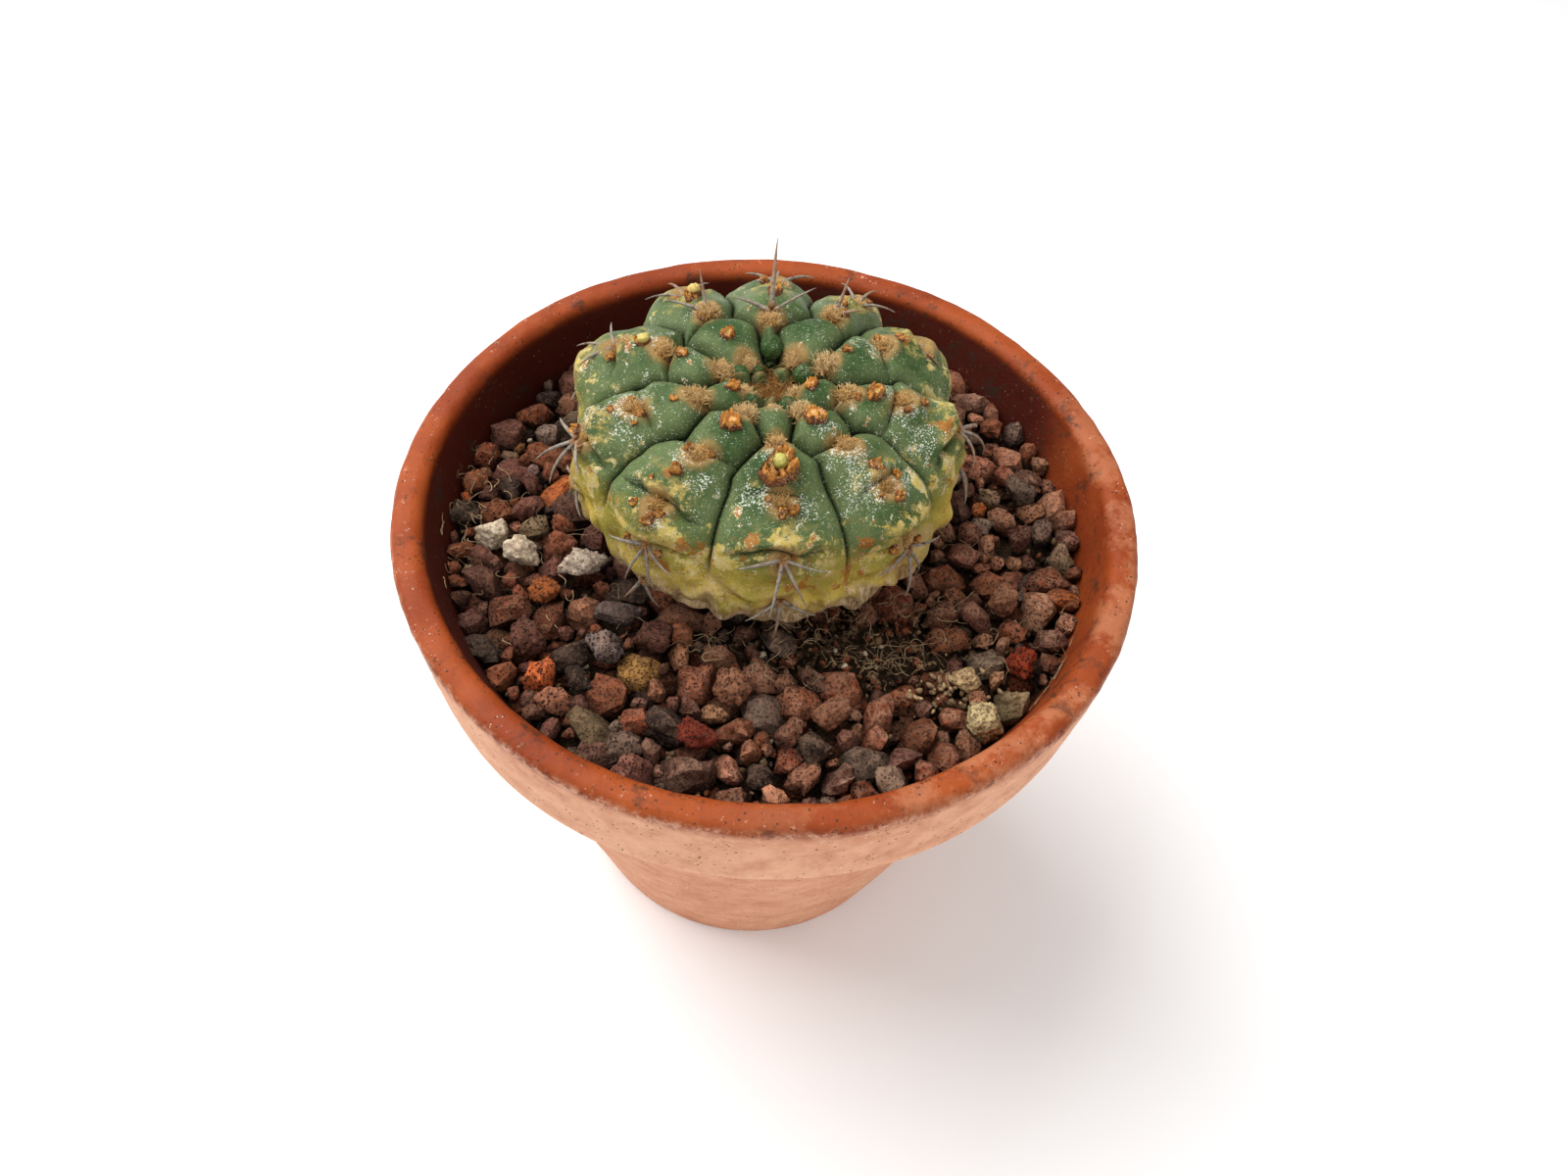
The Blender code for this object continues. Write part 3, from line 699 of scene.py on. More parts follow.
stray = flesh.noise(230.0, 6.0, 0.75).step(0.565, 0.61) * age.step(0.50, 0.72)
cream = (cream + ragged).step(0.68, 0.98).or_more(stray) * age.step(1.04, 0.92)
cork = flesh.mix(flesh.noise(700.0, 4.0, 0.7).step(0.38, 0.64), CORK_CREAM, SKIN_OLD)
flesh.layer(cream * 0.80, cork)
brow = chin.step(0.22, 0.55) * age.step(0.36, 0.55) * flesh.noise(330.0, 6.0, 0.75).step(0.45, 0.60)
flesh.layer(brow * 0.85, CORK_BROWN)
dots = flesh.noise(360.0, 5.0, 0.7).step(0.585, 0.64) * age.step(0.60, 0.82)
flesh.layer((rust + ragged).step(0.62, 0.98).or_more(dots) * 0.8, RUST)
flesh.layer((ragged * 0.12 + near_areole).step(0.40, 0.18) * 0.85, CORK_TAN)
upright = wire(flesh.tree, "ShaderNodeVectorMath", "Vector", {0: flesh.where, 1: (1.0, 1.0, 0.25)},
               operation="MULTIPLY")
fibrous = upright.noise(900.0, 5.0, 0.75)
flesh.layer((fibrous * 0.22 + age).step(1.08, 1.18),
            flesh.mix(fibrous.step(0.38, 0.62), BARK_DARK, BARK_PALE))
flesh.layer(flesh.noise(150.0, 6.0, 0.75).step(0.50, 0.62) * age.step(0.76, 0.92) * 0.70, STAIN_TAN)
flesh.layer(flesh.noise(260.0, 6.0, 0.8).step(0.53, 0.66) * age.step(0.80, 1.0) * 0.70, STAIN_BROWN)
# Painted shade: darker green in the broad hollows beside the furrows near the crown, and along the furrow
# and crease lines.
flesh.layer(wide.step(0.25, 0.95) * along_here.step(0.75, 0.35) * 0.45, SKIN_SHADE)
line = furrow.step(0.35, 0.95).or_more(crease.step(0.45, 1.0)) * along_here.step(0.94, 0.76)
flesh.layer(line * 0.9, SKIN_SHADE)
sprinkle = dusting + (flesh.noise(420.0, 4.0) * 1.2 - 0.6)
heavy = (flesh.noise(2900.0, 3.0, 0.7) + sprinkle.step(0.10, 1.10) * 0.125).step(0.66, 0.70)
dust = flesh.flecks(1900.0, 0.120, 0.56).or_more(flesh.flecks(2900.0, 0.24, 0.40)).or_more(heavy)
flesh.layer(dust * 0.78, DUST_WHITE)
flesh.finish(flesh.grain(2600.0, 0.9), 0.9, 0.26 * MM, dust * 0.3 + (age * 0.20 + 0.36))
flesh.shader["Subsurface Weight"].default_value = 0.06
flesh.shader["Subsurface Radius"].default_value = (0.4, 1.0, 0.3)
flesh.shader["Subsurface Scale"].default_value = 1.0 * MM

make_piece("cactus_stem_flesh", stem_points, capped_faces(*stem_points.shape[:2]), flesh,
           "cactus_skin", {key: values.ravel() for key, values in stem_traits.items()},
           replaces=("cactus_stem",))


# ---------------------------------------------------------------- young tubercles at the crown
# Round beads of the same green flesh, newly formed round the sunken growing point; they sit on the
# stem's skin and are part of it.
# Compass direction, distance from the crown's centre, width, length and height of each, in mm.
YOUNG = ((183, 9.6, 4.2, 5.2, 4.4), (118, 7.0, 4.0, 4.2, 4.2), (250, 6.6, 3.6, 3.8, 3.8),
         (320, 6.2, 3.2, 3.4, 3.2), (36, 6.0, 3.4, 3.6, 3.4), (214, 5.2, 2.2, 2.4, 2.4),
         (150, 4.6, 2.2, 2.2, 2.4), (75, 3.8, 1.8, 2.0, 2.0), (285, 3.6, 1.8, 2.0, 2.0),
         (350, 3.2, 1.7, 1.9, 1.8), (10, 5.6, 1.8, 2.0, 1.8), (200, 2.6, 1.4, 1.5, 1.6))
BEAD_ROWS, BEAD_COLUMNS = 18, 24


def ball(up, columns):
    """Unit directions in rings: up is each ring's angle from the pole."""
    up, turn = up[:, None], round_turn(columns)
    return xyz(np.sin(up) * np.cos(turn), np.sin(up) * np.sin(turn), np.cos(up)).reshape(-1, 3)


bead_way = ball(np.linspace(0.02, math.pi - 0.02, BEAD_ROWS), BEAD_COLUMNS)
beads = []
for index, (degrees, along, width, length, tall) in enumerate(YOUNG):
    angle = math.radians(degrees)
    out = np.array((math.sin(angle), -math.cos(angle), 0.0))
    right = np.array((math.cos(angle), math.sin(angle), 0.0))
    middle = np.array((STEM_X, STEM_Y, np.interp(along * MM, ALONG, UP) - 0.05 * tall * MM))
    middle += out * np.interp(along * MM, ALONG, OUT)
    shape = bead_way * np.array((width, length, tall)) * 0.5 * MM
    shape *= uneven(bead_way, 0.05, 2.2 * MM, 300 + index)
    beads.append(middle + shape @ np.stack([right, out, (0, 0, 1.0)]))
make_piece("young_tubercles", np.array(beads),
           repeat_faces(capped_faces(BEAD_ROWS, BEAD_COLUMNS), len(YOUNG), len(bead_way)), flesh,
           "cactus_skin", {**dict.fromkeys(stem_traits, 0.0), "areole": 3.0, "along": 0.12, "pillow": 0.75})


# ---------------------------------------------------------------- felt on the areoles
# Each areole is a cushion of short, curly plant hair, pale tan when young and brown with age, and
# the sunken crown is full of the same hair, loose and red-brown. Painted shade darkens each hair
# towards its root and the cushion under each tuft.
FELT_TAN = (0.68, 0.40, 0.12)
FELT_PALE = (0.88, 0.70, 0.40)
FELT_BROWN = (0.27, 0.105, 0.022)
# Size of each areole's cushion in mm and how pale it is, rib by rib, from the crown outwards.
CUSHIONS = (((1.5, 0.8), (2.2, 0.45), (1.9, 0.2), (1.3, 0.2), (1.0, 0.3)),
            ((2.7, 0.75), (2.2, 0.35), (1.8, 0.2), (1.6, 0.2), (1.0, 0.2)),
            ((2.0, 0.6), (2.5, 0.45), (2.0, 0.25), (1.3, 0.2), (1.1, 0.2)),
            ((3.0, 0.95), (2.2, 0.4), (1.6, 0.3), (1.3, 0.2), (1.0, 0.2)),
            ((2.0, 0.6), (2.4, 0.5), (1.7, 0.3), (1.3, 0.2), (1.0, 0.2)),
            ((2.3, 0.45), (1.9, 0.3), (1.4, 0.3), (1.0, 0.2), (0.8, 0.2)),
            ((2.1, 0.6), (2.6, 0.6), (1.8, 0.3), (1.3, 0.2), (1.0, 0.2)),
            ((2.7, 0.55), (2.3, 0.4), (1.8, 0.3), (1.3, 0.2), (1.0, 0.2)),
            ((1.9, 0.6), (2.7, 0.5), (2.2, 0.3), (1.4, 0.2), (1.1, 0.2)),
            ((2.7, 0.7), (2.2, 0.25), (1.9, 0.15), (1.5, 0.3), (1.0, 0.2)))
# The piece that each rib's hair belongs to; the crown's own hair is the last.
HAIR_PIECES = ("areole_hair_front", "areole_hair_right", "areole_hair_left", "crown_hair")
HAIR_OF_RIB = (0, 0, 1, 1, 1, 1, 2, 2, 2, 0)
FELT_STEPS, FELT_SIDES = 5, 3
FELT_RADIUS = 0.070 * MM
CROWN_HAIRS = 900


def tubes(paths, radii, sides):
    """Closed round tubes: paths is (n, steps, 3), radii (n, steps). Gives points and faces."""
    ahead = unit(np.gradient(paths, axis=1))
    guide = np.where(np.abs(ahead[:, :1, 2:]) < 0.8, np.array((0, 0, 1.0)), np.array((1.0, 0, 0)))
    first = unit(np.cross(ahead, guide))
    second = np.cross(ahead, first)
    turn = round_turn(sides)[:, None]
    ring = first[:, :, None, :] * np.cos(turn) + second[:, :, None, :] * np.sin(turn)
    count, steps = radii.shape
    faces = repeat_faces(capped_faces(steps, sides), count, steps * sides)
    return paths[:, :, None, :] + ring * radii[:, :, None, None], faces


def globe(rows, columns):
    """Unit directions over a sphere, row by row between two poles, and the faces that join them."""
    rings = ball(np.pi * (np.arange(1, rows + 1) / (rows + 1)), columns)
    here, after = np.arange(columns), np.roll(np.arange(columns), -1)
    top, bottom, foot = rows * columns, rows * columns + 1, (rows - 1) * columns
    faces = grid_faces(rows, columns)[:, ::-1].tolist()
    faces += np.stack([here, after, np.full(columns, top)], -1).tolist()
    faces += np.stack([after + foot, here + foot, np.full(columns, bottom)], -1).tolist()
    return np.concatenate([rings, [[0, 0, 1.0]], [[0, 0, -1.0]]]), faces


def random_turns(rng, count):
    """count random rotation matrices, from unit quaternions."""
    w, x, y, z = unit(rng.normal(size=(4, count)).T).T
    rows = [1 - 2 * (y * y + z * z), 2 * (x * y - w * z), 2 * (x * z + w * y),
            2 * (x * y + w * z), 1 - 2 * (x * x + z * z), 2 * (y * z - w * x),
            2 * (x * z - w * y), 2 * (y * z + w * x), 1 - 2 * (x * x + y * y)]
    return np.stack(rows, -1).reshape(count, 3, 3)


def curly(start, way, length, curls, rates):
    """Hairs along way, bent by one curl as a sine and by the other as one less a cosine."""
    step = np.linspace(0, 1, FELT_STEPS)
    path = start[:, None] + way[:, None] * (length[:, None] * step)[..., None]
    return path + (curls[0][:, None] * np.sin(step * rates[0])[:, None]
                   + curls[1][:, None] * (1 - np.cos(step * rates[1]))[:, None])


rng = np.random.default_rng(77)
step = np.linspace(0, 1, FELT_STEPS)
hair_paths, hair_tones, hair_places = [], [], []
pads, pad_tones = [], []
pad_way, pad_faces = globe(8, 16)
for rib in range(10):
    for place, (size, pale) in zip(AREOLES[rib], CUSHIONS[rib]):
        root, ways_here = place_on_skin(rib, 0.0, place)
        count = int(90 + 95 * size)
        flat = rng.normal(size=(count, 2)) * 0.42
        flat *= np.minimum(1, 0.95 / np.maximum(np.linalg.norm(flat, axis=1), 1e-6))[:, None]
        rise = np.sqrt(np.maximum(1 - (flat ** 2).sum(1), 0))
        start = xyz(*flat.T, 0.42 * rise - 0.15) * size * 0.62 * MM
        way = unit(xyz(*flat.T, rise * 0.8 + 0.15) + rng.normal(size=(count, 3)) * 0.38)
        length = size * rng.uniform(0.32, 0.72, count) * MM
        curls = rng.normal(size=(2, count, 3)) * 0.075 * size * MM
        hair_paths.append(root + curly(start, way, length, curls, (5.0, 6.5)) @ ways_here)
        hair_places.append(np.full(count, HAIR_OF_RIB[rib]))
        # Hair is browner on older areoles and on the side down the rib, and darker towards its root as
        # painted shade deep in the felt.
        brown = 0.45 + max(0.0, 1.4 * (0.36 - pale)) - 0.9 * step + 0.55 * flat[:, 1:2]
        brown = np.clip(brown + rng.normal(size=(count, 1)) * 0.25, 0, 1)
        tone = np.clip(pale + rng.normal(size=(count, 1)) * 0.2, 0, 1)
        hair_tones.append(xyz(brown, tone * step))
        shape = pad_way * np.array((0.60, 0.60, 0.36)) * size * MM
        shape *= (1 + 0.22 * plane_waves(pad_way * MM + root, 0.9 * MM, 30 + rib))[:, None]
        pads.append(root + shape @ ways_here)
        pad_tones.append(np.full(len(pad_way), pale * 0.5))

spin = rng.uniform(0, 2 * math.pi, CROWN_HAIRS)
reach = np.sqrt(rng.uniform(0, 1, CROWN_HAIRS)) * 3.6 * MM
start = xyz(STEM_X + reach * np.cos(spin), STEM_Y + reach * np.sin(spin),
            np.interp(reach, OUT[:TOP_STEPS], UP[:TOP_STEPS]) - 0.4 * MM)
way = unit(rng.normal(size=(CROWN_HAIRS, 3)) * np.array((0.8, 0.8, 0.3)) + np.array((0, 0, 0.45)))
curls = rng.normal(size=(2, CROWN_HAIRS, 3)) * 0.30 * MM
length = rng.uniform(0.9, 2.7, CROWN_HAIRS) * MM
hair_paths.append(curly(start, way, length, curls, (5, 6)))
hair_places.append(np.full(CROWN_HAIRS, len(HAIR_PIECES) - 1))
tones = [rng.uniform(low, high, (CROWN_HAIRS, 1)) for low, high in ((0.55, 1.3), (0.0, 0.5))]
hair_tones.append(np.repeat(xyz(*tones), FELT_STEPS, 1))

felt = Paint("areole_felt", 0.95, 0.15, FELT_TAN)
felt.layer(felt.trait("pale"), FELT_PALE)
felt.layer(felt.trait("brown") * 0.85, FELT_BROWN)
felt.layer(felt.noise(900.0, 3.0).step(0.35, 0.75) * 0.30, FELT_BROWN)
felt.finish(felt.noise(5200.0, 3.0), 0.9, 0.15 * MM)

paths, tones, places = (np.concatenate(each) for each in (hair_paths, hair_tones, hair_places))
radii = FELT_RADIUS * np.linspace(1, 0.45, FELT_STEPS) * rng.uniform(0.7, 1.2, (len(paths), 1))
for side, name in enumerate(HAIR_PIECES):
    mine = places == side
    points, faces = tubes(paths[mine], radii[mine], FELT_SIDES)
    tone = np.repeat(tones[mine].reshape(-1, 2), FELT_SIDES, 0)
    make_piece(name, points, faces, felt, "spines", {"brown": tone[:, 0], "pale": tone[:, 1]})
# The cushion under each tuft is painted dark brown as the shade deep in the felt.
make_piece("areole_cushions", np.array(pads), repeat_faces(pad_faces, len(pads), len(pad_way)),
           felt, "spines", {"brown": 1.0, "pale": np.concatenate(pad_tones)})


# ---------------------------------------------------------------- flower scars, buds and stubs
# Where flowers have dried and fallen, each leaves a corky orange crust with a torn rim, just below
# its areole. A few still hold a green bud or the swollen stub of a fruit.
CRUST_ORANGE = (0.62, 0.25, 0.030)
CRUST_PALE = (0.80, 0.50, 0.18)
CRUST_BROWN = (0.15, 0.045, 0.014)
BUD_GREEN = (0.24, 0.25, 0.040)
BUD_PALE = (0.46, 0.42, 0.10)
# Rib, place across, distance from the crown, width in mm, and how bright the crust is.
CRUSTS = ((0, 0.0, 22.5, 5.4, 0.45), (9, 0.0, 15.7, 3.0, 1.0), (9, -0.05, 27.2, 2.0, 0.35),
          (1, 0.0, 14.0, 3.1, 0.95), (1, 0.05, 26.6, 2.0, 0.35), (8, 0.0, 8.9, 1.9, 1.0),
          (8, 0.12, 19.0, 1.2, 0.9), (8, -0.1, 29.5, 1.2, 0.7), (2, 0.0, 8.9, 2.0, 1.0),
          (2, 0.05, 19.0, 2.8, 0.7), (2, 0.0, 28.0, 1.4, 0.5), (7, 0.0, 17.0, 1.7, 0.7),
          (7, 0.0, 25.2, 2.2, 0.8), (3, 0.1, 15.4, 1.5, 0.25), (6, 0.0, 12.9, 2.2, 0.85),
          (6, 0.1, 27.2, 2.2, 0.3), (4, 0.1, 26.0, 1.8, 0.75), (5, 0.0, 23.4, 2.6, 0.8),
          (0, 0.0, 30.0, 1.5, 0.2), (9, 0.05, 36.2, 1.9, 0.2), (1, 0.0, 32.9, 1.6, 0.3),
          (3, 0.0, 27.5, 1.6, 0.6), (9, -0.3, 30.6, 0.9, 0.9), (8, 0.45, 26.6, 0.8, 0.8))
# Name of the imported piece, rib, place across, distance from the crown, width and height in mm, kind.
BUDS = (("front_bud", 0, 0.0, 21.9, 2.7, 3.3, 0.0), ("front_left_stub", 9, 0.03, 15.2, 1.7, 1.6, 1.0),
        ("front_right_stub", 1, 0.02, 13.5, 1.5, 1.4, 1.0), ("back_left_bud", 6, 0.0, 27.6, 2.6, 3.4, 0.45),
        ("right_stub", 2, 0.1, 19.6, 1.7, 1.5, 0.6), ("left_back_stub", 7, 0.0, 24.6, 2.3, 2.4, 0.25))

# Smaller scabs crowd round the older areoles.
rng = np.random.default_rng(808)
for rib in range(10):
    for place in AREOLES[rib][1:4]:
        for hand in (-1, 1):
            side, shift, width, bright = rng.uniform((0.14, -1.2, 0.8, 0.15), (0.32, 1.8, 1.7, 0.75))
            if rng.uniform() < 0.7:
                CRUSTS += ((rib, hand * side, place + shift, width, bright),)

crust_way, crust_faces = globe(20, 32)
wide_way, deep_way, tall_way = crust_way.T
round_way = np.arctan2(deep_way, wide_way)
off = np.clip(np.hypot(wide_way, deep_way), 0, 1)
rim = np.exp(-((off - 0.68) / 0.20) ** 2)
crust_points = []
for index, (rib, side, place, width, bright) in enumerate(CRUSTS):
    root, ways_here = place_on_skin(rib, side, place)
    ragged = 1.15 + 0.18 * np.sin(2 * round_way + index) + 0.12 * np.sin(3 * round_way + 2.3 * index)
    ragged += 0.16 * plane_waves(crust_way * np.array((1, 1, 0.1)) * 3 * MM + 2 * index * MM, 1.6 * MM, 59)
    lumps = plane_waves(crust_way * 3 * MM + index * MM, 1.3 * MM, 60)
    grit = plane_waves(crust_way * 3 * MM + index * MM, 0.55 * MM, 61)
    height = 0.12 + 0.34 * rim + 0.17 * lumps * (0.5 + rim) + 0.07 * grit
    height = np.where(tall_way > 0, height * np.clip(tall_way * 3, 0, 1), 0.34 * tall_way)
    shape = xyz(wide_way * ragged * 0.5, deep_way * ragged * 0.56, height) * width * MM
    crust_points.append(root + shape @ ways_here)

crust = Paint("flower_crust", 0.7, 0.35, CRUST_PALE)
off_middle, bright = crust.trait("off"), crust.trait("bright")
mottle = crust.noise(1500.0, 4.0, 0.7)
crust.layer((off_middle + (mottle * 0.8 - 0.4)).step(0.35, 0.62), CRUST_ORANGE)
crust.layer((off_middle + (mottle * 0.7 - 0.35)).step(0.76, 0.96), CRUST_BROWN)
crust.layer((1.0 - bright) * mottle.step(0.36, 0.62), CRUST_BROWN)
crust.layer(crust.flecks(2300.0, 0.26, 0.5) * 0.6, SALT_WHITE)
crust.finish(crust.grain(3600.0, 0.8), 0.9, 0.25 * MM)
make_piece("flower_crusts", np.array(crust_points), repeat_faces(crust_faces, len(CRUSTS), len(off)),
           crust, "dried_flower",
           {"off": np.tile(off, len(CRUSTS)), "bright": np.repeat([each[-1] for each in CRUSTS], len(off))})

bud_skin = Paint("bud_skin", 0.5, 0.4, BUD_GREEN)
tip, mottle = bud_skin.trait("tip"), bud_skin.noise(800.0, 4.0, 0.6)
bud_skin.layer((mottle * 0.5 + tip).step(0.55, 1.10), BUD_PALE)
bud_skin.layer(bud_skin.trait("kind"), bud_skin.mix(mottle.step(0.35, 0.65), CRUST_ORANGE, CRUST_PALE))
bud_skin.layer((mottle * -0.5 + tip).step(0.05, -0.30), CRUST_BROWN)
bud_skin.finish(bud_skin.grain(2600.0, 0.7), 0.6, 0.2 * MM)
bud_way, bud_faces = globe(20, 28)
for index, (name, rib, side, place, width, tall, kind) in enumerate(BUDS):
    root, ways_here = place_on_skin(rib, side, place)
    pinch = 1 - 0.22 * np.clip(bud_way[:, 2], 0, 1) ** 2
    lean = xyz(0.0, -0.20 * bud_way[:, 2] ** 2, 0.30 * tall)
    shape = bud_way * 0.5 * np.array((width, width * 1.1, tall)) * pinch[:, None]
    shape *= uneven(bud_way, 0.05, 1.6 * MM, 80 + index)
    make_piece(name + "_shape", root + (shape + lean) * MM @ ways_here, bud_faces, bud_skin,
               "dried_flower", {"tip": bud_way[:, 2], "kind": kind}, replaces=(name,))


# ---------------------------------------------------------------- spines
# Stiff grey spines, two to four to an areole, a little flattened, curved back along the skin and
# rough with old bark. Each tuft grows out of its areole.
SPINE_GREY = (0.155, 0.125, 0.095)
SPINE_PALE = (0.31, 0.275, 0.225)
SPINE_DARK = (0.050, 0.034, 0.024)
SPINE_WARM = (0.30, 0.12, 0.035)
SPINE_WIDTH = 0.70 * MM
SPINE_STEPS, SPINE_SIDES = 16, 8
# A spine is (way, rise, length, droop): its way in degrees from straight down the rib towards the
# right, its rise off the skin, its length in mm, and how far its tip bends back to the skin.
FAN = ((-78, 24, 8.0, 30), (-22, 30, 9.5, 44), (16, 34, 10.5, 40), (80, 24, 8.0, 34))
TRIO = ((-58, 28, 8.0, 38), (4, 34, 9.0, 42), (62, 28, 8.0, 36))
PAIR = ((-26, 30, 7.5, 35), (28, 34, 8.5, 35))
HOOKED = ((-48, 44, 8.0, 80), (6, 50, 9.5, 92), (54, 40, 8.0, 76))
UPRIGHT = ((-82, 24, 8.0, 20), (4, 50, 13.0, 8), (80, 34, 9.5, 12))
CURLED = ((-55, 22, 9.0, 20), (8, 64, 8.0, 6))
BLADE = ((0, 60, 8.0, 8), (72, 32, 6.5, 20))
TUFTS = (("front_middle", 0, 37.6, FAN), ("front_low", 0, 47.5, TRIO), ("front_right_middle", 1, 43.5, FAN),
         ("right_middle", 2, 37.0, HOOKED), ("right_low", 2, 46.5, TRIO),
         ("right_back_middle", 3, 32.0, HOOKED), ("right_back_low", 3, 42.0, FAN),
         ("back_right_upper", 4, 21.8, BLADE),
         ("back_right_middle", 4, 31.5, TRIO), ("back_right_low", 4, 42.0, TRIO),
         ("back_upper", 5, 16.9, UPRIGHT), ("back_middle", 5, 32.0, TRIO), ("back_low", 5, 42.0, FAN),
         ("back_left_upper", 6, 21.0, CURLED), ("back_left_middle", 6, 32.5, TRIO),
         ("back_left_low", 6, 42.5, TRIO), ("left_back_middle", 7, 32.0, TRIO),
         ("left_back_low", 7, 42.0, FAN),
         ("left_middle", 8, 37.5, FAN), ("left_low", 8, 47.0, TRIO), ("front_left_middle", 9, 42.5, FAN),
         ("front_left_low", 9, 51.0, PAIR))

bark = Paint("spine_bark", 0.72, 0.35, SPINE_GREY)
up_spine = bark.trait("share")
bark.layer(bark.noise(1300.0, 5.0, 0.7).step(0.35, 0.62), SPINE_PALE)
bark.layer(bark.noise(900.0, 4.0, 0.75).step(0.56, 0.66), SPINE_DARK)
bark.layer(up_spine.step(0.16, 0.0) * 0.8, FELT_BROWN)
bark.layer(bark.trait("warm") * up_spine.step(0.1, 0.6) * 0.7, SPINE_WARM)
bark.finish(bark.noise(3200.0, 4.0, 0.7), 0.9, 0.14 * MM)

share = np.linspace(0, 1, SPINE_STEPS)
for index, (name, rib, place, fan) in enumerate(TUFTS):
    rng = np.random.default_rng(500 + index)
    root, (right, down, normal) = place_on_skin(rib, 0.0, place)
    way, rise, length, droop = np.array(fan, float).T
    count = len(fan)
    way, rise = np.radians(way + rng.normal(size=count) * 5), np.radians(rise + rng.normal(size=count) * 3)
    length = length * rng.uniform(0.92, 1.04, count) * MM
    lean = rise[:, None] - np.radians(droop)[:, None] * share ** 1.3
    flat = down * np.cos(way)[:, None] + right * np.sin(way)[:, None]
    heading = flat[:, None] * np.cos(lean)[..., None] + normal * np.sin(lean)[..., None]
    sideways = np.cross(flat, normal) * rng.normal(size=(count, 1)) * 0.10
    heading = heading + sideways[:, None] * share[:, None] ** 2
    paths = root + normal * 0.1 * MM + np.cumsum(heading, 1) * (length / SPINE_STEPS)[:, None, None]
    thick = rng.uniform(0.85, 1.15, count) * np.where(length > 12 * MM, 1.25, 1.0)
    bulb = 1 + 0.5 * np.exp(-(share / 0.08) ** 2)
    rings = 0.5 * SPINE_WIDTH * thick[:, None] * bulb * (1 - 0.82 * share ** 2.2)
    rings *= 1 + 0.07 * np.sin(share * 60 + index) + 0.05 * np.sin(share * 37)
    points, faces = tubes(paths, rings, SPINE_SIDES)
    warm = np.repeat(np.where(rise > 0.6, 0.7, rng.uniform(0, 0.25, count)), SPINE_STEPS * SPINE_SIDES)
    make_piece("spines_" + name, points, faces, bark, "spines",
               {"share": np.tile(np.repeat(share, SPINE_SIDES), count), "warm": warm},
               replaces=("spine_tuft_" + name,))


# ---------------------------------------------------------------- potting soil
# Dark, fibrous compost fills the pot. Its surface shows between the stones and is bare and lumpy
# beside the stem at the front right; its underside shows in the drainage hole.
BED_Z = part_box("gravel_bed")[1][2]
SOIL_FOOT_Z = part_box("root_ball_soil")[0][2]
SOIL_BROWN = (0.062, 0.036, 0.019)
SOIL_DARK = (0.011, 0.007, 0.004)
SOIL_TAN = (0.20, 0.125, 0.06)
SOIL_COLUMNS = 260
BARE_X, BARE_Y, BARE_SIZE = 20 * MM, -26 * MM, 12 * MM
WALL_GAP = 0.35 * MM


def wall_radius(height):
    """Radius of the pot's inner wall at a height."""
    share = (height - INNER_FOOT[1]) / (INNER_TOP[1] - INNER_FOOT[1])
    return INNER_FOOT[0] + (INNER_TOP[0] - INNER_FOOT[0]) * share


def bareness(x, y):
    """1 in the bare patch of soil beside the stem, 0 away from it."""
    wide, deep = (x - BARE_X) / (1.6 * BARE_SIZE), (y - BARE_Y) / (0.72 * BARE_SIZE)
    return np.exp(-(wide ** 2 + deep ** 2) ** 1.5)


soil = Paint("potting_soil", 0.95, 0.08, SOIL_DARK)
lumps = soil.noise(900.0, 6.0, 0.75)
soil.layer(lumps.step(0.35, 0.62), SOIL_BROWN)
soil.layer(soil.noise(1900.0, 5.0, 0.8).step(0.58, 0.68) * 0.7, SOIL_TAN)
soil.finish(lumps, 1.0, 0.9 * MM)

turn = round_turn(SOIL_COLUMNS)
rings = np.linspace(0.6 * MM, wall_radius(BED_Z - 1 * MM) - WALL_GAP, 110)[:, None]
flat = xyz(rings * np.cos(turn), rings * np.sin(turn), 0.0)
bare = bareness(flat[..., 0], flat[..., 1])
top_z = BED_Z - 3.4 * MM + plane_waves(flat, 11 * MM, 41) * 0.5 * MM
top_z += plane_waves(flat, 2.6 * MM, 42) * 0.35 * MM
top_z += bare * (3.4 * MM + plane_waves(flat, 3.2 * MM, 43) * 0.7 * MM)
depths = np.array((1.0, 0.7, 0.3, 0.0)) * (BED_Z - 4 * MM - SOIL_FOOT_Z) + SOIL_FOOT_Z
rows = [(wall_radius(z) - WALL_GAP, z) for z in depths]
rows += [(r * MM, SOIL_FOOT_Z) for r in (24, 12, 5, 1)]
below = [xyz(r * np.cos(turn), r * np.sin(turn), z) for r, z in rows]
soil_points = np.concatenate([xyz(flat[..., 0], flat[..., 1], top_z), below])
make_piece("potting_soil_body", soil_points, capped_faces(len(soil_points), SOIL_COLUMNS), soil,
           "soil", {}, replaces=("root_ball_soil", "gravel_bed"))


# ---------------------------------------------------------------- lava grit and pumice
# The top dressing is crushed lava, screened to a few millimetres: red-brown, purple, grey and a few
# rust or ochre grains, full of gas pores and with pale dust on top, with a few cream lumps of pumice.
# Painted shade darkens the stones low down and at the left; on the right their dust is also painted light.
RED_LAVA = (0.185, 0.052, 0.022)
PINK_LAVA = (0.265, 0.108, 0.056)
PURPLE_LAVA = (0.108, 0.039, 0.026)
GREY_LAVA = (0.122, 0.083, 0.060)
DARK_LAVA = (0.030, 0.019, 0.015)
RUST_LAVA = (0.360, 0.085, 0.018)
OCHRE_LAVA = (0.300, 0.140, 0.040)
OLIVE_LAVA = (0.165, 0.115, 0.055)
PUMICE_CREAM = (0.66, 0.55, 0.39)
LAVA_PORE = (0.010, 0.005, 0.004)
LAVA_SHADE = (0.34, 0.27, 0.26)
LAVA_BRIGHT = (0.62, 0.36, 0.24)
LAVA_DUST_AND_LIGHT = (0.50, 0.29, 0.19)
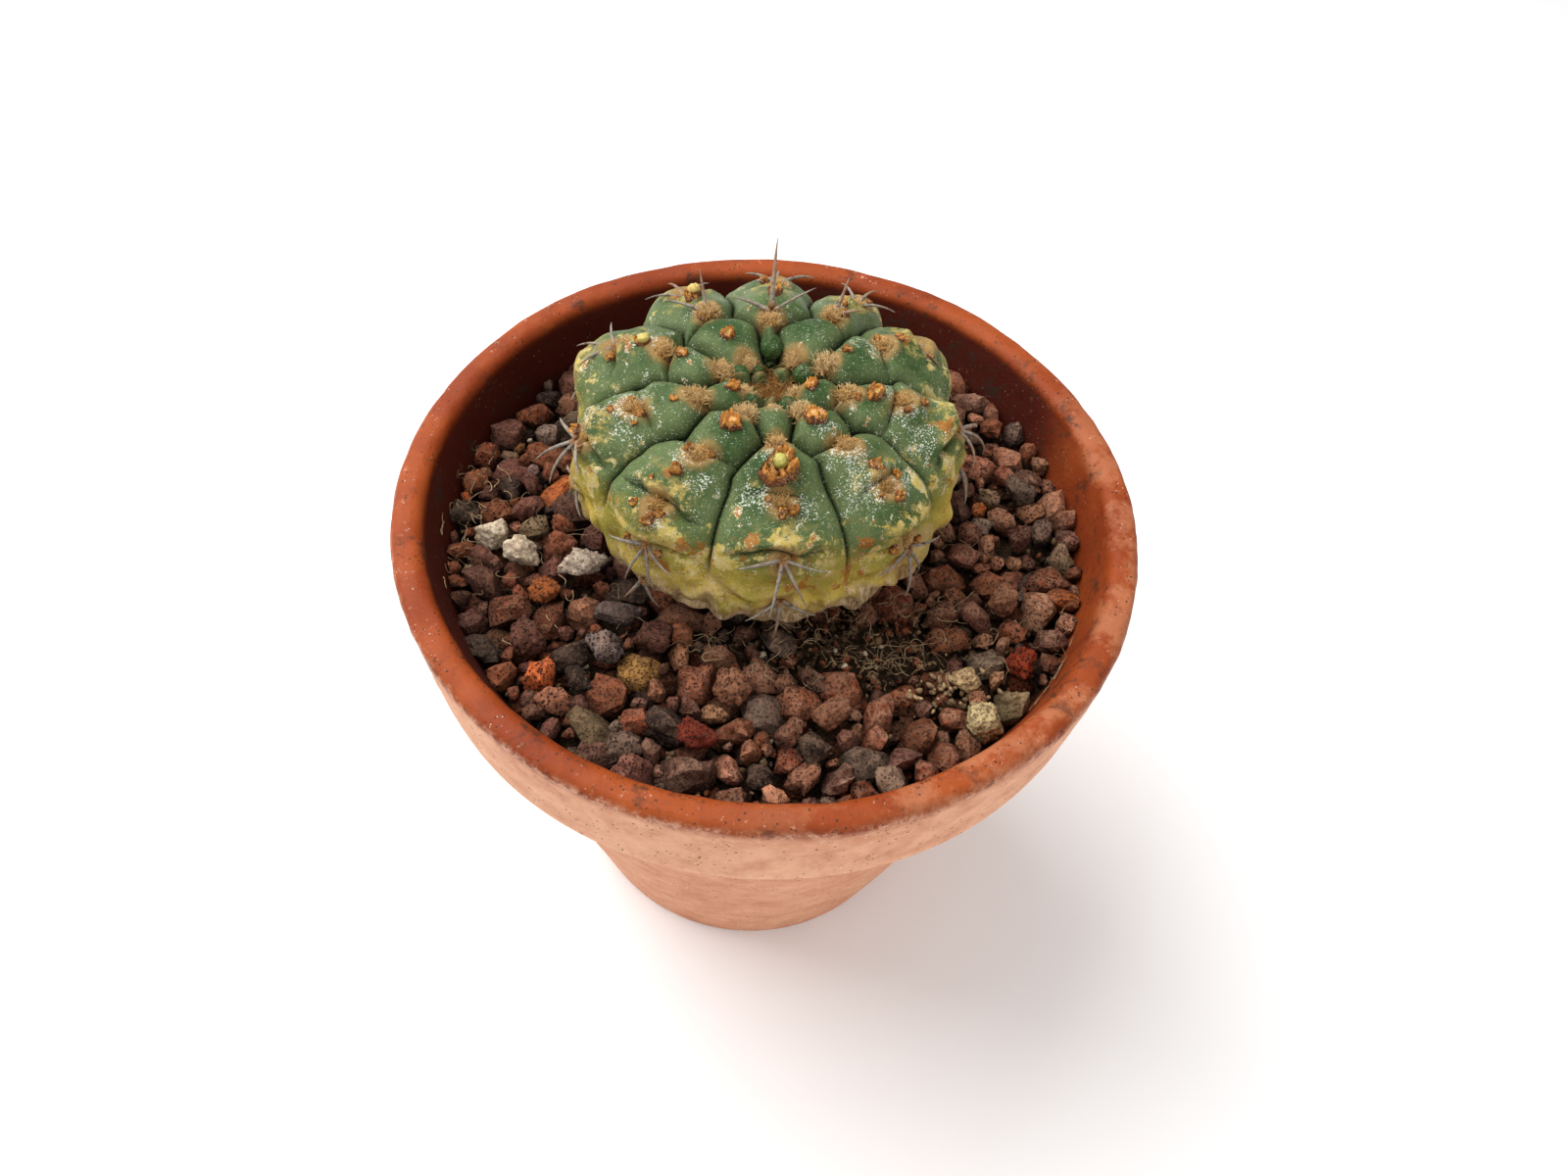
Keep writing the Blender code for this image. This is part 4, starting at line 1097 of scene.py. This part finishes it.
PALETTE = np.array((RED_LAVA, PINK_LAVA, PURPLE_LAVA, GREY_LAVA, DARK_LAVA, RUST_LAVA, OCHRE_LAVA,
                    OLIVE_LAVA))
# The share of each colour of the palette at the left and at the right of the pot; the darker mix at
# the left is partly painted shade.
LEFT_SHARES = np.array((0.28, 0.12, 0.26, 0.09, 0.17, 0.02, 0.02, 0.04))
RIGHT_SHARES = np.array((0.33, 0.31, 0.17, 0.10, 0.03, 0.02, 0.01, 0.03))
# What each named stone is: its colour, how pale and dusty it is, and how many gas pores it has.
NAMED = (("cream_pumice_far_left", PUMICE_CREAM, 0.2, 0.3),
         ("cream_pumice_left", PUMICE_CREAM, 0.35, 0.25),
         ("cream_pumice_by_stem", (0.60, 0.50, 0.38), 0.3, 0.45),
         ("cream_pumice_front_right", (0.64, 0.50, 0.25), 0.0, 0.6),
         ("tan_pumice_front_right", (0.58, 0.40, 0.20), 0.0, 0.5),
         ("rust_stone_front_right", (0.26, 0.035, 0.012), 0.0, 1.0),
         ("rust_stone_left", (0.33, 0.095, 0.026), 0.0, 0.7),
         ("grey_stone_front_left", (0.150, 0.115, 0.105), 0.4, 1.0),
         ("slate_stone_front_left", (0.085, 0.062, 0.056), 0.1, 0.2),
         ("purple_stone_front_left", PURPLE_LAVA, 0.15, 0.9),
         ("purple_stone_left", PURPLE_LAVA, 0.1, 0.9), ("red_stone_front", PINK_LAVA, 0.25, 0.8),
         ("red_stone_front_left", (0.21, 0.035, 0.018), 0.0, 0.7),
         ("red_stone_front_right", PINK_LAVA, 0.3, 0.5), ("red_stone_right", PINK_LAVA, 0.3, 0.6),
         ("purple_stone_right", PURPLE_LAVA, 0.35, 0.8), ("grey_stone_right", GREY_LAVA, 0.35, 0.7),
         ("red_stone_back", RED_LAVA, 0.0, 0.6))
KINDS = {"cream": "pumice", "tan": "pumice", "rust": "rust_lava", "grey": "grey_lava",
         "slate": "grey_lava", "purple": "purple_lava", "red": "red_lava"}


def broken_lumps(ways, rng, count, cuts, sharpness, rough):
    """Radius of count broken stones along each direction of ways: (count, len(ways)).

    Each stone is the inside of a few random planes; the planes blend as one over the p-th root of
    the sum of (direction . normal / distance) to the power p, so its edges are worn round.
    """
    normals = unit(rng.normal(size=(count, cuts, 3)))
    opposite = -normals[:, :3] + rng.normal(size=(count, 3, 3)) * 0.3
    normals = unit(np.concatenate([normals, opposite], 1))
    distance = rng.uniform(0.66, 1.08, normals.shape[:2])
    facing = np.maximum(np.einsum("vk,sck->svc", ways, normals), 0.0) / distance[:, None, :]
    total = np.maximum((facing ** sharpness).sum(-1), 1e-9) ** (-1.0 / sharpness)
    return np.minimum(total, 1.35) * (1 + rough * rng.normal(size=total.shape))


lava = Paint("lava_stone", 0.95, 0.10, None)
own_colour = lava.trait("stone_colour", "Color")
lava.colour = own_colour
lava.layer(lava.noise(650.0, 5.0, 0.7).step(0.36, 0.64) * 0.75,
           lava.mix(1.0, own_colour, LAVA_SHADE, "MULTIPLY"))
lava.layer(lava.noise(1500.0, 4.0, 0.7).step(0.52, 0.64) * 0.55, lava.mix(0.45, own_colour, LAVA_BRIGHT))
# Pale dust on the stones' tops, which on the grit's right side is also painted light.
lava.layer(lava.trait("dust_and_light") * lava.noise(380.0, 5.0, 0.75).step(0.36, 0.66) * 0.66, LAVA_DUST_AND_LIGHT)
pore_dots = wire(lava.tree, "ShaderNodeTexVoronoi", "Distance",
                 {"Vector": lava.where, "Scale": 1500.0, "Randomness": 1.0})
pore = (pore_dots - (lava.noise(1300.0, 2.0) * 0.85 - 0.13)).step(0.06, -0.06)
pits = lava.noise(1500.0, 3.0, 0.6).step(0.58, 0.66)
pore = pore.or_more(pits) * lava.trait("porous")
lava.layer(pore * 0.88, LAVA_PORE)
lava.finish(lava.grain(1700.0, 1.1) * 0.7 - pore * 0.9, 1.0, 0.45 * MM)

placed = []
fine_way, fine_faces = globe(26, 38)
for index, (name, tint, pale, pores) in enumerate(NAMED):
    rng = np.random.default_rng(900 + index)
    low, high = (np.array(corner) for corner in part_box(name))
    middle, half = (low + high) / 2, (high - low) / 2
    turned = fine_way @ random_turns(rng, 1)[0].T
    shape = turned * broken_lumps(fine_way, rng, 1, 7, 14.0, 0.0)[0][:, None]
    shape = (shape - (shape.max(0) + shape.min(0)) / 2) / ((shape.max(0) - shape.min(0)) / 2)
    shape *= uneven(turned, 0.060, 1.7 * MM, 70 + index) * uneven(turned, 0.040, 0.7 * MM, 90 + index)
    chipped = smooth_step(plane_waves(turned * 3 * MM, 1.0 * MM, 110 + index), 0.5, 1.3)
    shape *= (1 - 0.10 * chipped)[:, None]
    make_piece(name + "_stone", middle + shape * half * 1.06, fine_faces, lava,
               KINDS[name.split("_")[0]],
               {"stone_colour": np.tile(tint, (len(shape), 1)), "porous": pores,
                "dust_and_light": pale * np.clip(turned[:, 2] * 1.3, 0, 1)}, replaces=(name,))
    placed.append((middle[0], middle[1], half[:2].mean()))

rng = np.random.default_rng(4242)
GRIT_TOP = BED_Z + 1.6 * MM
WALL_AT_GRIT = wall_radius(GRIT_TOP)
# For the top layer and the one below: the crowding, then the largest and smallest radius in mm and
# how many stones of that size are tried.
GRIT_LAYERS = ((0.90, ((3.7, 2.9, 700), (2.9, 2.2, 2600), (2.2, 1.6, 4200), (1.6, 1.0, 6500))),
               (0.88, ((3.2, 2.2, 2600),)))
stones = []
for depth, (crowding, sizes) in enumerate(GRIT_LAYERS):
    near = np.array(placed if depth == 0 else []).reshape(-1, 3)
    for largest, smallest, tries in sizes:
        for _ in range(tries):
            size = rng.uniform(smallest, largest) * MM
            away = math.sqrt(rng.uniform(0.05, 1.0)) * (WALL_AT_GRIT - size * 0.80)
            spin = rng.uniform(0, 2 * math.pi)
            x, y = away * math.cos(spin), away * math.sin(spin)
            if math.hypot(x - STEM_X, y - STEM_Y) < 25 * MM + size:
                continue
            if rng.uniform() < 1.5 * bareness(x, y):
                continue
            if (np.hypot(near[:, 0] - x, near[:, 1] - y) < crowding * (near[:, 2] + size)).any():
                continue
            near = np.append(near, [(x, y, size)], 0)
            fall = rng.uniform(-0.5, 0.7) * MM if depth == 0 else rng.uniform(-3.8, -2.6) * MM
            z = GRIT_TOP - 0.55 * size + fall - 1.0 * MM * (size < 1.7 * MM)
            stones.append((x, y, min(z, GRIT_TOP - 0.1 * MM), size, depth))
middles, sizes, is_buried = np.split(np.array(stones)[:, None], (3, 4), 2)
count = len(stones)
coarse_way, coarse_faces = globe(6, 9)
ways = len(coarse_way)
radius = broken_lumps(coarse_way, rng, count, 5, 20.0, 0.075)
shape = coarse_way * radius[..., None] * rng.uniform(0.72, 1.24, (count, 1, 3)) * sizes * 1.02
shape = np.einsum("svk,sjk->svj", shape, random_turns(rng, count)) * np.array((1, 1, 0.86))
grit_points = shape + middles
limit = wall_radius(grit_points[..., 2]) - 0.25 * MM
squeeze = np.minimum(1, limit / np.hypot(grit_points[..., 0], grit_points[..., 1]))
grit_points[..., :2] *= squeeze[..., None]
rightness = smooth_step(middles[..., 0] - 0.4 * middles[..., 1], -25 * MM, 30 * MM)
shares = LEFT_SHARES * (1 - rightness) + RIGHT_SHARES * rightness
pick = (rng.uniform(size=(count, 1)) > np.cumsum(shares / shares.sum(1, keepdims=True), 1)).sum(1)
tint = PALETTE[np.clip(pick, 0, 7)] * rng.uniform(0.60, 1.55, (count, 1))
tint *= (1 - 0.60 * is_buried[:, 0]) * (1 + rng.normal(size=(count, 3)) * 0.05)
local_up = np.clip((grit_points[..., 2:] - middles[..., 2:]) / sizes, 0, 1)[..., 0]
# Painted shade: each stone is darker towards its lower half, down in the gaps between the stones.
tint = tint[:, None, :] * (0.42 + 0.85 * local_up[..., None])
# Pale dust on the stones' tops, heavier towards the right, where it is also painted light on the lit side.
dust_and_light = local_up * (0.22 + 0.70 * rightness * rng.uniform(0.3, 1.0, (count, 1))) * (1 - is_buried[:, 0])
make_piece("lava_grit", grit_points, repeat_faces(coarse_faces, count, ways), lava, "lava_grit",
           {"stone_colour": tint.reshape(-1, 3), "dust_and_light": dust_and_light.ravel(),
            "porous": np.repeat(rng.uniform(0.45, 1.0, count), ways)}, smooth=False)

# Chips, dust and crumbs that have settled between the stones and on the bare soil.
CHIPS = 1560
ON_BARE = 420
CRUMBS = 90
CHIP_TINTS = np.array((RED_LAVA, SOIL_BROWN, SOIL_TAN, OLIVE_LAVA, DARK_LAVA, PUMICE_CREAM))
CHIP_SHARES = (0.24, 0.28, 0.16, 0.12, 0.16, 0.04)
CRUMB_TAN = np.array((0.56, 0.38, 0.20))
spin = rng.uniform(0, 2 * math.pi, CHIPS)
away = np.sqrt(rng.uniform(0.16, 1, CHIPS)) * (WALL_AT_GRIT - 1.2 * MM)
x, y = away * np.cos(spin), away * np.sin(spin)
on_bare = np.arange(CHIPS) < ON_BARE
x = np.where(on_bare, BARE_X + rng.normal(size=CHIPS) * 12 * MM, x)
y = np.where(on_bare, BARE_Y + rng.normal(size=CHIPS) * 6.5 * MM, y)
# A lump of pumice has crumbled at the front right.
crumbled = np.array(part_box("tan_pumice_front_right")).mean(0)
is_crumb = np.arange(CHIPS) >= CHIPS - CRUMBS
x = np.where(is_crumb, crumbled[0] + rng.normal(size=CHIPS) * 3.6 * MM - 1.5 * MM, x)
y = np.where(is_crumb, crumbled[1] + rng.normal(size=CHIPS) * 3.0 * MM - 1.5 * MM, y)
keep = (np.hypot(x - STEM_X, y - STEM_Y) > 24 * MM) & (np.hypot(x, y) < WALL_AT_GRIT - 1.0 * MM)
x, y, is_crumb = x[keep], y[keep], is_crumb[keep]
count = len(x)
size = rng.uniform(0.28, 0.85, count) * np.where(is_crumb, 0.9, 1.0) * MM
z = BED_Z - 2.6 * MM + rng.uniform(0, 2.6, count) * MM + bareness(x, y) * 1.6 * MM
z = np.where(is_crumb, BED_Z + rng.uniform(0.2, 2.6, count) * MM, z)
chip_way, chip_faces = globe(3, 6)
ways = len(chip_way)
shape = chip_way * broken_lumps(chip_way, rng, count, 7, 7.0, 0.08)[..., None]
shape = shape * size[:, None, None] * rng.uniform(0.6, 1.3, (count, 1, 3))
shape = np.einsum("svk,sjk->svj", shape, random_turns(rng, count)) + xyz(x, y, z)[:, None]
tint = CHIP_TINTS[rng.choice(6, count, p=CHIP_SHARES)]
tint = np.where(is_crumb[:, None], CRUMB_TAN * rng.uniform(0.30, 1.2, (count, 1)), tint)
make_piece("grit_chips", shape, repeat_faces(chip_faces, count, ways), lava, "lava_grit",
           {"stone_colour": np.repeat(tint, ways, 0), "dust_and_light": 0.0, "porous": 0.0})


# ---------------------------------------------------------------- roots and plant fibres
# Dry, hair-thin roots and bits of fibre lie on the bare soil, along the wall at the left and right,
# and under the stem's skirt.
ROOT_TAN = (0.40, 0.28, 0.155)
ROOT_DARK = (0.07, 0.042, 0.022)
# Where a bundle lies: x, y, spread in x and y, how high above the bed, in mm, and how many strands.
BUNDLES = ((20, -27, 11, 5, 2.6, 110), (-57.5, -4, 3.0, 9, 3.4, 34), (54.5, -31, 3.5, 6, 3.0, 26),
           (-40, -14, 9, 9, 2.2, 20), (0, -30, 16, 3, 2.4, 40), (34, -10, 4, 8, 2.4, 24))
ROOT_STEPS = 12
root_paths = []
rng = np.random.default_rng(31)
for x, y, wide_x, wide_y, lift, count in BUNDLES:
    start = np.stack([x + rng.normal(size=count) * wide_x, y + rng.normal(size=count) * wide_y,
                      rng.uniform(-0.8, 1.0, count) * 0.8 + lift], -1) * MM
    start[:, 2] += BED_Z
    heading = rng.uniform(0, 2 * math.pi, count)
    turn = rng.normal(size=(count, 1)) * 1.1
    step = np.linspace(0, 1, ROOT_STEPS)
    bend = heading[:, None] + turn * step * 2 + np.sin(step * 7 + heading[:, None]) * 0.6
    length = rng.uniform(2.5, 8.0, count) * MM
    climb = rng.normal(size=(count, 1)) * 0.15 + 0.35 * np.cos(step * 9 + heading[:, None])
    moves = np.stack([np.cos(bend), np.sin(bend), climb], -1) * (length / ROOT_STEPS)[:, None, None]
    path = start[:, None] + np.cumsum(moves, 1)
    reach = np.hypot(path[..., 0], path[..., 1])
    path[..., :2] *= np.minimum(1, (wall_radius(path[..., 2]) - 0.4 * MM) / reach)[..., None]
    root_paths.append(path)
paths = np.concatenate(root_paths)
radii = rng.uniform(0.045, 0.13, (len(paths), 1)) * MM * np.linspace(1, 0.5, ROOT_STEPS)
fibre = Paint("dry_root", 0.9, 0.2, ROOT_DARK)
fibre.layer(fibre.noise(160.0, 4.0, 0.7).step(0.38, 0.60), ROOT_TAN)
fibre.finish(fibre.noise(2500.0, 3.0), 0.6, 0.1 * MM)
make_piece("dry_roots", *tubes(paths, radii, 4), fibre, "soil", {})
